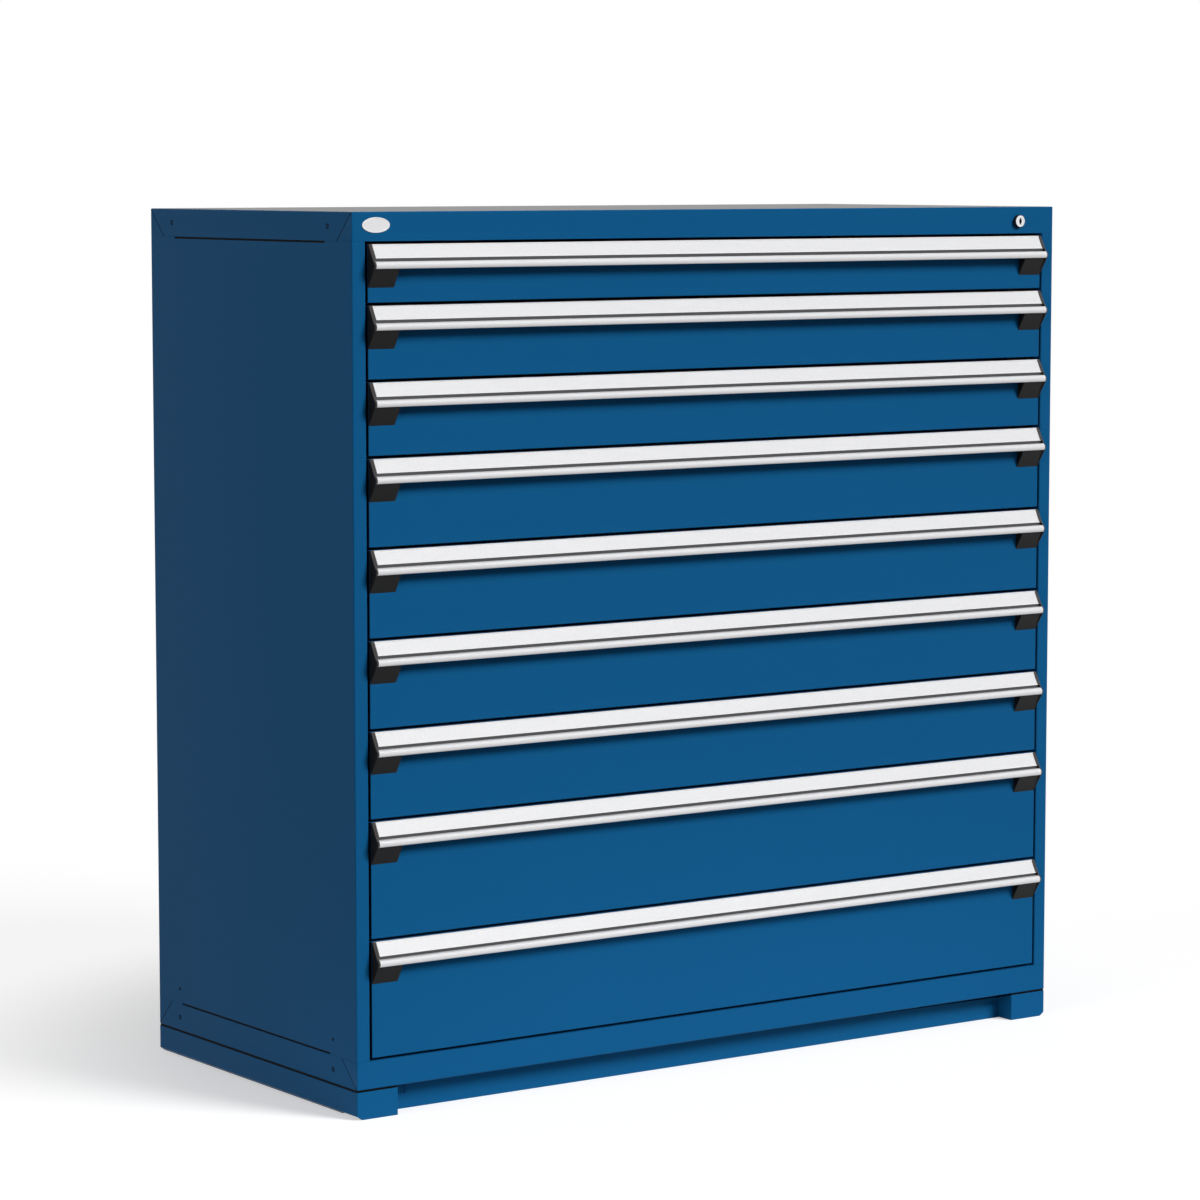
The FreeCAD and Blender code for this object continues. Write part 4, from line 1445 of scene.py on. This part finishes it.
@dataclass
class HandleRail:
    """The extruded handle rail: its label face between two lips, the groove and the hollow nose.

    Outward and downward distances are counted from the front's top edge, as on the real section.
    """

    ledge: float = 3.0 * MM
    run: float = 12.5 * MM
    height: float = 23.2 * MM
    lip_width: float = 1.6 * MM
    lip_height: float = 0.7 * MM
    wall: float = 2.2 * MM
    groove: float = 5.2 * MM
    groove_depth: float = 3.0 * MM
    nose_ledge: float = 19.0 * MM
    nose_bulge: float = 23.5 * MM
    nose_bulge_drop: float = 36.0 * MM
    nose_tip: float = 21.0 * MM
    nose_drop: float = 40.4 * MM
    flange_drop: float = 39.0 * MM
    nose_steps: int = 12
    inner_nose_steps: int = 8
    fine_round: float = 0.25 * MM
    small_round: float = 0.45 * MM
    top_round: float = 0.8 * MM
    edge_round: float = 0.6 * MM
    nose_round: float = 1.2 * MM

    @property
    def slope(self) -> float:
        """The length of the sloping face."""
        return math.hypot(self.run, self.height)

    def on_face(self, distance: float, proud: float, radius: float = 0) -> Corner:
        """A corner on the sloping face, by its distance down the slope and its height above it."""
        along, down = self.run / self.slope, self.height / self.slope
        return (self.ledge + distance * along + proud * down, distance * down - proud * along, radius)

    def section(self) -> list[Point2]:
        """The outline of the section as (outward, down) points.

        Returns:
            The points, in one turn round the metal.
        """
        edge = self.ledge + self.run
        groove_in = edge - self.groove_depth
        groove_end = self.height + self.groove
        inner_wall = groove_in - self.wall
        inner_top = groove_end + self.wall
        fine, small = self.fine_round, self.small_round
        far_lip = self.slope - self.lip_width
        corners = [(0, 0, small), (self.ledge, 0, self.top_round), self.on_face(self.lip_width, 0, fine)]
        corners += [self.on_face(self.lip_width, -self.lip_height), self.on_face(far_lip, -self.lip_height)]
        corners += [self.on_face(far_lip, 0, fine)]
        corners += [(edge, self.height, self.edge_round), (groove_in, self.height, small)]
        corners += [(groove_in, groove_end, small), (self.nose_ledge, groove_end, self.nose_round)]
        bulge, tip = (self.nose_bulge, self.nose_bulge_drop), (self.nose_tip, self.nose_drop)
        corners += arc_through((self.nose_ledge, groove_end), bulge, tip, self.nose_steps)
        bulge, inner_tip = (bulge[0] - self.wall, bulge[1]), (tip[0] - self.wall, tip[1])
        end = (self.nose_ledge - self.wall, inner_top)
        corners += [(*tip, small), (*inner_tip, small)]
        corners += arc_through(inner_tip, bulge, end, self.inner_nose_steps)
        corners += [(*end, small), (inner_wall, inner_top, small)]
        corners.append((inner_wall, self.on_face(self.slope - self.wall, -self.wall)[1], 0))
        corners.append(self.on_face(self.wall * self.height / self.run, -self.wall))
        corners += [(self.wall, self.flange_drop, 0), (0, self.flange_drop, 0)]
        return rounded(corners)

    def mesh(self, left: float, right: float, front: float, top: float) -> Mesh:
        """Extrudes the section between two ends, on the front plane and below the front's top edge.

        Args:
            left: The left end.
            right: The right end.
            front: The front plane.
            top: The height of the front's top edge.

        Returns:
            A mesh with the satin finish, a dark finish painted into the groove as shade, and the bright
            finish as its materials.
        """
        shape = bmesh.new()
        add_prism(shape, hung(self.section(), left, front, top), (right - left, 0, 0))
        finishes = SATIN_ALUMINIUM, GROOVE_SHADE_ALUMINIUM, BRIGHT_ALUMINIUM
        draft = mesh_object("handle_draft", outward(shape), *finishes)
        for face in draft.data.polygons:
            face.material_index = self.finish_index(front - face.center.y, top - face.center.z)
        return evaluated(draft)

    def finish_index(self, across: float, down: float) -> int:
        """Tells which finish a face has: 0 satin, 1 the groove, painted dark as shade, or 2 the label face's
        bright lips.

        Args:
            across: How far outwards its middle is.
            down: How far down its middle is.

        Returns:
            The index of its material.
        """
        edge = self.ledge + self.run
        proud = ((across - self.ledge) * self.height - down * self.run) / self.slope
        if abs(proud) < HIDDEN_OVERLAP and 0 < down < self.height:
            return 2
        in_groove = edge - self.groove_depth - HIDDEN_OVERLAP < across < edge - self.wall / 2
        # The groove's faces take the dark finish: painted shade.
        if in_groove and -HIDDEN_OVERLAP < down - self.height < self.groove + HIDDEN_OVERLAP:
            return 1
        return 0


@dataclass
class EndCaps:
    """The two black caps of one handle: a wall over each end of the rail and a wedge below the nose."""

    rail: HandleRail
    wall: float = 3.2 * MM
    lip: float = 3.5 * MM
    lip_proud: float = 0.35 * MM
    bevel_width: float = 1.0 * MM
    bevel_drop: float = 0.8 * MM
    block_width: float = 51.0 * MM
    block_drop: float = 72.0 * MM
    block_reach: float = 18.6 * MM
    fit: float = 0.6 * MM
    ease: float = 0.25 * MM
    nose_steps: int = 6

    def outline(self, behind: float) -> list[Point2]:
        """The wall's outline as (outward, down) points: the rail's own, without its groove.

        Args:
            behind: How far the outline reaches behind the front plane.

        Returns:
            The corners, from the top of the back edge.
        """
        rail = self.rail
        slant = (self.block_drop - rail.nose_drop - self.fit) / rail.nose_tip
        start = (rail.nose_ledge, rail.height + rail.groove)
        bulge, tip = (rail.nose_bulge, rail.nose_bulge_drop), (rail.nose_tip, rail.nose_drop)
        points = [(-behind, 0.0), (rail.ledge, 0.0), (rail.ledge + rail.run, rail.height), start]
        points += [corner[:2] for corner in arc_through(start, bulge, tip, self.nose_steps)]
        points.append((rail.nose_tip, rail.nose_drop + self.fit))
        points.append((-behind, self.block_drop + behind * slant))
        return points

    def mesh(self, half: float, front: float, top: float) -> Mesh:
        """Makes both caps.

        Args:
            half: The distance from the middle to the caps' outer faces.
            front: The front plane.
            top: The height of the front's top edge.

        Returns:
            A mesh with the plain plastic and a lighter plastic, a painted highlight on the edge bands and
            lips, as its materials.
        """
        outline = self.outline(0.0)
        small = drawn_in(self.outline(self.bevel_drop), self.bevel_drop)
        block_top = self.rail.nose_drop + self.fit
        wedge = [(0.0, block_top), (self.block_reach, block_top), (0.0, self.block_drop)]
        shape = bmesh.new()
        for side in Side:
            inner, rim = half - self.wall, half - self.bevel_width
            places = ((outline, inner), (outline, rim), (small, half))
            rings = [hung(ring, side.value * x, front, top) for ring, x in places]
            # The edge band above the nose takes the lighter plastic: a painted highlight.
            for face in sum(add_loft(shape, rings), []):
                middle = face.calc_center_median()
                if middle.y < front - WELD and top - middle.z < self.rail.nose_drop:
                    face.material_index = 1
            start = side.value * (half - self.wall - self.lip)
            # The lip takes the lighter plastic too: a painted highlight.
            for face in self.add_lip(shape, side, start, front, top):
                face.material_index = 1
            start = side.value * (half - self.block_width)
            reach = side.value * (self.block_width - self.wall + HIDDEN_OVERLAP)
            add_prism(shape, hung(wedge, start, front, top), (reach, 0, 0))
        draft = mesh_object("cap_draft", outward(shape), BLACK_PLASTIC, PAINTED_HIGHLIGHT_PLASTIC)
        add_bevel(draft, self.ease)
        return evaluated(draft)

    def add_lip(
        self, shape: BMesh, side: Side, start: float, front: float, top: float
    ) -> list[BMFace]:
        """Adds the narrow lip with which a cap laps over the end of the label face.

        Args:
            shape: The bmesh.
            side: The side that the cap is on.
            start: The place of the lip's inner end.
            front: The front plane.
            top: The height of the front's top edge.

        Returns:
            The lip's side faces.
        """
        rail, proud = self.rail, self.lip_proud
        deep = -rail.lip_height - HIDDEN_OVERLAP
        places = ((0.0, proud), (rail.slope, proud), (rail.slope, deep), (0.0, deep))
        corners = [rail.on_face(*place) for place in places]
        reach = side.value * (self.lip + HIDDEN_OVERLAP)
        return add_loft(shape, [hung(corners, x, front, top) for x in (start, start + reach)])[0]


@dataclass
class Drawer:
    """One drawer: front, handle rail, end caps, slotted tray and runner channels."""

    number: int
    sheet: float = 1.2 * MM
    front_sheet: float = 1.5 * MM
    front_bend: float = 1.2 * MM
    rim: float = 7.0 * MM
    hem: float = 4.0 * MM
    lift: float = 6.0 * MM
    tray_inset: float = 13.5 * MM
    runner_width: float = 10.5 * MM
    runner_half: float = 16.0 * MM
    runner_wall: float = 1.6 * MM
    catch_rise: float = 11.0 * MM
    catch_width: float = 14.0 * MM
    catch_height: float = 6.0 * MM
    catch_sheet: float = 3.0 * MM
    catch_setback: float = 5.9 * MM
    rivet_count: int = 6
    rivet_first: float = 45.0 * MM
    rivet_pitch: float = 104.0 * MM
    rivet_facets: int = 16
    rivet_millimetres: tuple[Point2, ...] = (
        (0, 1.0), (1.6, 0.8), (2.6, 0.35), (3.0, 0.0), (3.0, -0.2), (0, -0.2),
    )
    floor_edge: float = 0.25 * MM
    edge: float = 0.3 * MM

    def node(self, part: str) -> str:
        """The CAD node of one part of this drawer."""
        return f"drawer_{self.number}_{part}"

    @property
    def body(self) -> str:
        """The CAD body that the drawer is."""
        return f"drawer_{self.number}"

    def build(self) -> None:
        """Builds and dresses the drawer."""
        self.front()
        self.handle()
        self.tray()
        self.channels()

    def front(self) -> None:
        """Folds the front panel back on its four edges; its side returns get a near-black copy of the coat,
        painted shade for the dark gap beside the drawer.
        """
        low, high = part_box(self.node("front"))
        shape = bmesh.new()
        corners = [(low.x, low.z), (high.x, low.z), (high.x, high.z), (low.x, high.z)]
        face, edge = ([(x, y, z) for x, z in corners] for y in (low.y, high.y))
        add_hood(shape, face, edge, True)
        piece = folded_sheet(self.node("front_panel"), shape, BLUE_COAT, self.front_sheet, self.front_bend)
        # The side returns take the near-black copy of the coat: painted shade in the gap.
        piece.data.materials.append(PAINTED_SHADE_COAT.material())
        for part in piece.data.polygons:
            if abs(part.normal.x) > FACING_SIDE and abs(part.center.x) > high.x - self.front_bend / 2:
                part.material_index = 1
        seat(piece, self.body, Slot.BLUE, self.node("front"))

    def handle(self) -> None:
        """Sets the handle rail on the front, with its end caps."""
        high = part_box(self.node("handle"))[1]
        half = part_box(self.node("end_caps"))[1].x
        rail = HandleRail()
        caps = EndCaps(rail)
        covered = half - caps.wall + HIDDEN_OVERLAP
        piece = shaded(rail.mesh(-covered, covered, high.y, high.z), self.node("handle_rail"))
        seat(piece, self.body, Slot.HANDLE, self.node("handle"))
        piece = shaded(caps.mesh(half, high.y, high.z), self.node("cap_pair"))
        seat(piece, self.body, Slot.CAP, self.node("end_caps"))

    def tray(self) -> None:
        """The tray: a plain floor, slotted walls, a turned-in rim and the apron behind the front."""
        low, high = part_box(self.node("tray"))
        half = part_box(self.node("front"))[1].x
        tray_half = half - self.tray_inset
        floor_z = low.z + self.lift
        front = low.y + self.sheet
        meshes = self.walls(tray_half, front, high.y, floor_z, high.z - floor_z)
        solid = bmesh.new()
        add_cuboid(solid, (-tray_half, front, floor_z), (tray_half, high.y, floor_z + self.sheet))
        add_cuboid(solid, (-half, low.y, low.z), (half, front, high.z))
        meshes.append(solid_mesh("tray_floor", solid, GREY_COAT, self.floor_edge))
        meshes.append(self.rim_mesh(tray_half, front, high.y, high.z))
        seat(joined(self.node("tray_shell"), meshes, GREY_COAT), self.body, Slot.TRAY, self.node("tray"))

    def walls(
        self, half: float, front: float, back: float, floor_z: float, height: float
    ) -> list[Mesh]:
        """The four slotted walls between the floor and the rim.

        Args:
            half: The distance from the middle to the side walls' outer faces.
            front: The outer face of the front wall.
            back: The outer face of the back wall.
            floor_z: The height of the walls' lower edges.
            height: The height of the walls.

        Returns:
            A mesh for each wall.
        """
        middle_y, middle_z = (front + back) / 2, floor_z + height / 2
        side_wall = SlottedSheet(back - front, height, self.sheet, GREY_COAT)
        end_wall = SlottedSheet(2 * half, height, self.sheet, GREY_COAT)
        meshes = []
        for side in Side:
            x = side.value * half
            turn = Matrix(((0, 0, -side.value, x), (1, 0, 0, middle_y), (0, 1, 0, middle_z), (0, 0, 0, 1)))
            meshes.append(side_wall.mesh(turn))
        for y, way in ((front, 1), (back, -1)):
            turn = Matrix(((1, 0, 0, 0), (0, 0, way, y), (0, 1, 0, middle_z), (0, 0, 0, 1)))
            meshes.append(end_wall.mesh(turn))
        return meshes

    def rim_mesh(self, half: float, front: float, back: float, top: float) -> Mesh:
        """The rim: the walls' top edges, turned in and down.

        Args:
            half: The distance from the middle to the side walls' outer faces.
            front: The outer face of the front wall.
            back: The outer face of the back wall.
            top: The height of the rim.

        Returns:
            The mesh of the rim.
        """
        shape = bmesh.new()
        inner, low, under = half - self.rim, top - self.hem, top - self.sheet
        for side in Side:
            out = side.value
            add_cuboid(shape, (out * half, front, under), (out * inner, back, top))
            hem = out * (inner + self.sheet)
            add_cuboid(shape, (out * inner, front + self.rim, low), (hem, back - self.rim, under))
        for near, far, edge, lip in (
            (front, front + self.rim, front + self.rim, -self.sheet),
            (back - self.rim, back, back - self.rim, self.sheet),
        ):
            add_cuboid(shape, (-inner, near, under), (inner, far, top))
            add_cuboid(shape, (-inner, edge, low), (inner, edge + lip, under))
        return solid_mesh("tray_rim", shape, GREY_COAT, self.edge)

    def channels(self) -> None:
        """The two runner channels on the tray's sides, each with a row of rivets, and the lock catch."""
        low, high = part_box(self.node("tray"))
        carriage_low, carriage_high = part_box(self.node("carriages"))
        axis = (carriage_low.z + carriage_high.z) / 2
        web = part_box(self.node("front"))[1].x - self.tray_inset
        tip = web + self.runner_width
        outer, wall = self.runner_half, self.runner_wall
        section = [(web, -outer), (tip, -outer), (tip, -outer + wall), (web + wall, -outer + wall)]
        section += [(web + wall, outer - wall), (tip, outer - wall), (tip, outer), (web, outer)]
        shape = bmesh.new()
        for side in Side:
            outline = [(side.value * x, low.y + self.sheet, axis + z) for x, z in section]
            add_prism(shape, outline, (0, high.y - low.y - self.sheet, 0))
        catch = Vector((web, low.y + self.catch_setback, axis + outer + self.catch_rise))
        add_cuboid(shape, catch, catch + Vector((self.catch_width, self.catch_sheet, self.catch_height)))
        meshes = [solid_mesh("channel_draft", shape, ZINC, self.edge)]
        profile = [(radius * MM, rise * MM) for radius, rise in self.rivet_millimetres]
        for side in Side:
            rows = [((side.value * (web + wall), low.y + self.rivet_first, axis), self.rivet_pitch)]
            meshes += turned_rows(profile, side.value, self.rivet_facets, self.rivet_count, ZINC, rows)
        piece = joined(self.node("tray_channels"), meshes, ZINC)
        seat(piece, self.body, Slot.RUNNER, self.node("tray"))


@dataclass
class Carriage:
    """The pair of intermediate runners of one drawer, with rollers that face both ways."""

    number: int
    end_inset: float = 30.0 * MM
    spacing: float = 200.0 * MM
    beam: float = 2.0 * MM
    beam_height: float = 26.0 * MM
    roller_width: float = 7.0 * MM
    roller_radius: float = 14.1 * MM
    roller_facets: int = 28
    side_gap: float = 0.7 * MM
    beam_edge: float = 0.35 * MM
    pin_radius: float = 3.2 * MM
    pin_ease: float = 0.2 * MM
    rivet_radius: float = 3.6 * MM
    boss_radius: float = 6.0 * MM
    boss_sunk: float = 0.4 * MM
    web_radius: float = 7.0 * MM
    web_sunk: float = 1.2 * MM
    rim_foot: float = 3.4 * MM
    rim_top: float = 2.6 * MM
    crown: float = 0.7 * MM

    def build(self) -> None:
        """Builds and dresses the carriage."""
        node = f"drawer_{self.number}_carriages"
        low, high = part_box(node)
        axis = (low.z + high.z) / 2
        outer = high.x - self.roller_width - self.side_gap
        inner = outer - self.beam
        shape = bmesh.new()
        bottom, top = axis - self.beam_height / 2, axis + self.beam_height / 2
        for side in Side:
            add_cuboid(shape, (side.value * inner, low.y, bottom), (side.value * outer, high.y, top))
        meshes = [solid_mesh("beam_draft", shape, ZINC, self.beam_edge)]
        for side in Side:
            outside = side.value * (outer + self.side_gap)
            inside = side.value * (inner - self.side_gap - self.roller_width)
            rows = [((outside, high.y - self.end_inset, axis), -self.spacing)]
            rows.append(((inside, low.y + self.end_inset, axis), self.spacing))
            meshes += turned_rows(self.roller(), side.value, self.roller_facets, 2, ZINC, rows)
        piece = joined(f"drawer_{self.number}_roller_runners", meshes, ZINC)
        seat(piece, f"carriage_{self.number}", Slot.RUNNER, node)

    def roller(self) -> list[Point2]:
        """The profile of a crowned roller with a sunk web and its pin, which stands on 0.

        Returns:
            (radius, distance) pairs, counted outwards.
        """
        width, radius, crown = self.roller_width, self.roller_radius, self.crown
        pin, boss, web = self.pin_radius, self.boss_radius, self.web_radius
        foot, rim = radius - self.rim_foot, radius - self.rim_top
        sunk, far_web, far_boss = self.web_sunk, width - self.web_sunk, width - self.boss_sunk
        profile = [(0, -self.pin_ease), (pin - self.pin_ease, -self.pin_ease), (pin, self.boss_sunk)]
        profile += [(boss, self.boss_sunk), (web, sunk), (foot, sunk), (rim, 0.0), (radius - crown, 0.0)]
        profile += [(radius, crown), (radius, width - crown), (radius - crown, width), (rim, width)]
        profile += [(foot, far_web), (web, far_web), (boss, far_boss), (self.rivet_radius, far_boss)]
        return profile + [(pin, width), (0, width)]


# Studio

@dataclass(frozen=True)
class Lamp:
    """A wide soft light that stands far away and isn't seen in reflections."""

    name: str
    direction: Point3
    strength: float
    angle: float

    def build(self) -> None:
        """Adds the light to the scene."""
        data = bpy.data.lights.new(self.name, "SUN")
        data.angle = math.radians(self.angle)
        data.energy = self.strength
        light = placed(self.name, data)
        light.visible_glossy = False
        light.rotation_mode = "QUATERNION"
        light.rotation_quaternion = (-Vector(self.direction)).to_track_quat("-Z", "Y")


@dataclass
class Studio:
    """The pale floor, the soft lights and the camera at the photograph's place."""

    camera_place: Point3 = (-4.3496, -6.1696, 1.5997)
    camera_aim: Point3 = (0.57024, 0.81481, -0.10445)
    lens: float = 124.257
    sensor: float = 36.0
    shift: float = 0.5 / FRAME_PIXELS
    clip_end: float = 200.0
    floor_half: float = 60.0
    world_fill: float = 0.09
    floor_near: float = 0.68
    floor_far: float = 0.17
    floor_near_reach: float = 0.70
    floor_far_reach: float = 1.35
    floor_light: float = 0.77
    fade_start: float = 1.6
    fade_end: float = 4.5
    lamps: tuple[Lamp, ...] = (
        Lamp("key_light", (0.38, -0.66, 0.53), 3.35, 24.0),
        Lamp("side_fill", (-0.96, -0.18, 0.22), 1.05, 40.0),
        Lamp("back_fill", (0.20, 0.93, 0.30), 0.30, 60.0),
    )

    def build(self) -> None:
        """Sets the whole studio up."""
        self.world()
        self.floor()
        for lamp in self.lamps:
            lamp.build()
        self.camera()
        bpy.context.scene.view_settings.view_transform = "Standard"

    def world(self) -> None:
        """White to the camera and in reflections, and a dimmer fill for the surfaces."""
        world = bpy.data.worlds.new("studio_world")
        bpy.context.scene.world = world
        world.use_nodes = True
        graph = Graph(world.node_tree)
        sky = world.node_tree.nodes["Background"]
        rays = graph.add("ShaderNodeLightPath").outputs
        seen = graph.math("MAXIMUM", rays["Is Camera Ray"], rays["Is Glossy Ray"])
        plain = graph.math("MAXIMUM", seen, rays["Is Transmission Ray"])
        strength = graph.add("ShaderNodeMapRange", Value=plain, To_Min=self.world_fill, To_Max=1.0)
        graph.feed(sky.inputs["Color"], (1.0, 1.0, 1.0, 1.0))
        graph.feed(sky.inputs["Strength"], strength)

    def floor(self) -> None:
        """A large pale floor that keeps the object's shadow and is white to the camera and in reflections."""
        shape = bmesh.new()
        bmesh.ops.create_grid(shape, x_segments=1, y_segments=1, size=self.floor_half)
        made = mesh_object("studio_floor", shape)
        material = bpy.data.materials.new("studio_floor")
        material.use_nodes = True
        graph = Graph(material.node_tree)
        nodes = material.node_tree.nodes
        nodes.remove(nodes["Principled BSDF"])
        rays = graph.add("ShaderNodeLightPath").outputs
        place = graph.add("ShaderNodeTexCoord").outputs["Object"]
        distance = graph.add("ShaderNodeVectorMath", place, operation="LENGTH").outputs["Value"]
        shade = graph.add(
            "ShaderNodeMapRange", distance, self.floor_near_reach, self.floor_far_reach, self.floor_near,
            self.floor_far, interpolation_type="SMOOTHSTEP",
        )
        fade = graph.add(
            "ShaderNodeMapRange", distance, self.fade_start, self.fade_end, interpolation_type="SMOOTHSTEP"
        )
        missing = graph.math("MULTIPLY_ADD", shade, -self.floor_light, 1.0)
        strength = graph.math("MULTIPLY", missing, rays["Is Camera Ray"])
        diffuse = graph.add("ShaderNodeBsdfDiffuse", Color=shade)
        total = graph.add("ShaderNodeAddShader", diffuse, graph.add("ShaderNodeEmission", Strength=strength))
        seen = graph.math("MULTIPLY", fade, rays["Is Camera Ray"])
        plain = graph.math("MAXIMUM", seen, rays["Is Glossy Ray"])
        blend = graph.add("ShaderNodeMixShader", plain, total, graph.add("ShaderNodeEmission"))
        graph.feed(nodes["Material Output"].inputs["Surface"], blend)
        made.data.materials.append(material)

    def camera(self) -> None:
        """Puts the camera at the photograph's place, angle and field of view."""
        data = bpy.data.cameras.new("photo_camera")
        data.lens = self.lens
        data.sensor_width = self.sensor
        data.shift_x, data.shift_y = -self.shift, self.shift
        data.clip_end = self.clip_end
        camera = placed("photo_camera", data)
        camera.location = self.camera_place
        camera.rotation_mode = "QUATERNION"
        camera.rotation_quaternion = Vector(self.camera_aim).to_track_quat("-Z", "Y")
        bpy.context.scene.camera = camera


def main() -> None:
    """Builds the cabinet piece by piece, then the studio."""
    logging.basicConfig(level=logging.INFO, format="%(name)s: %(message)s")
    Housing().build()
    Base().build()
    Lock().build()
    OvalPlate().build()
    drawers = [name for name in frame["bodies"] if name.startswith("drawer_")]
    for number in range(1, len(drawers) + 1):
        Drawer(number).build()
        Carriage(number).build()
    Studio().build()


if __name__ == "__main__":
    main()
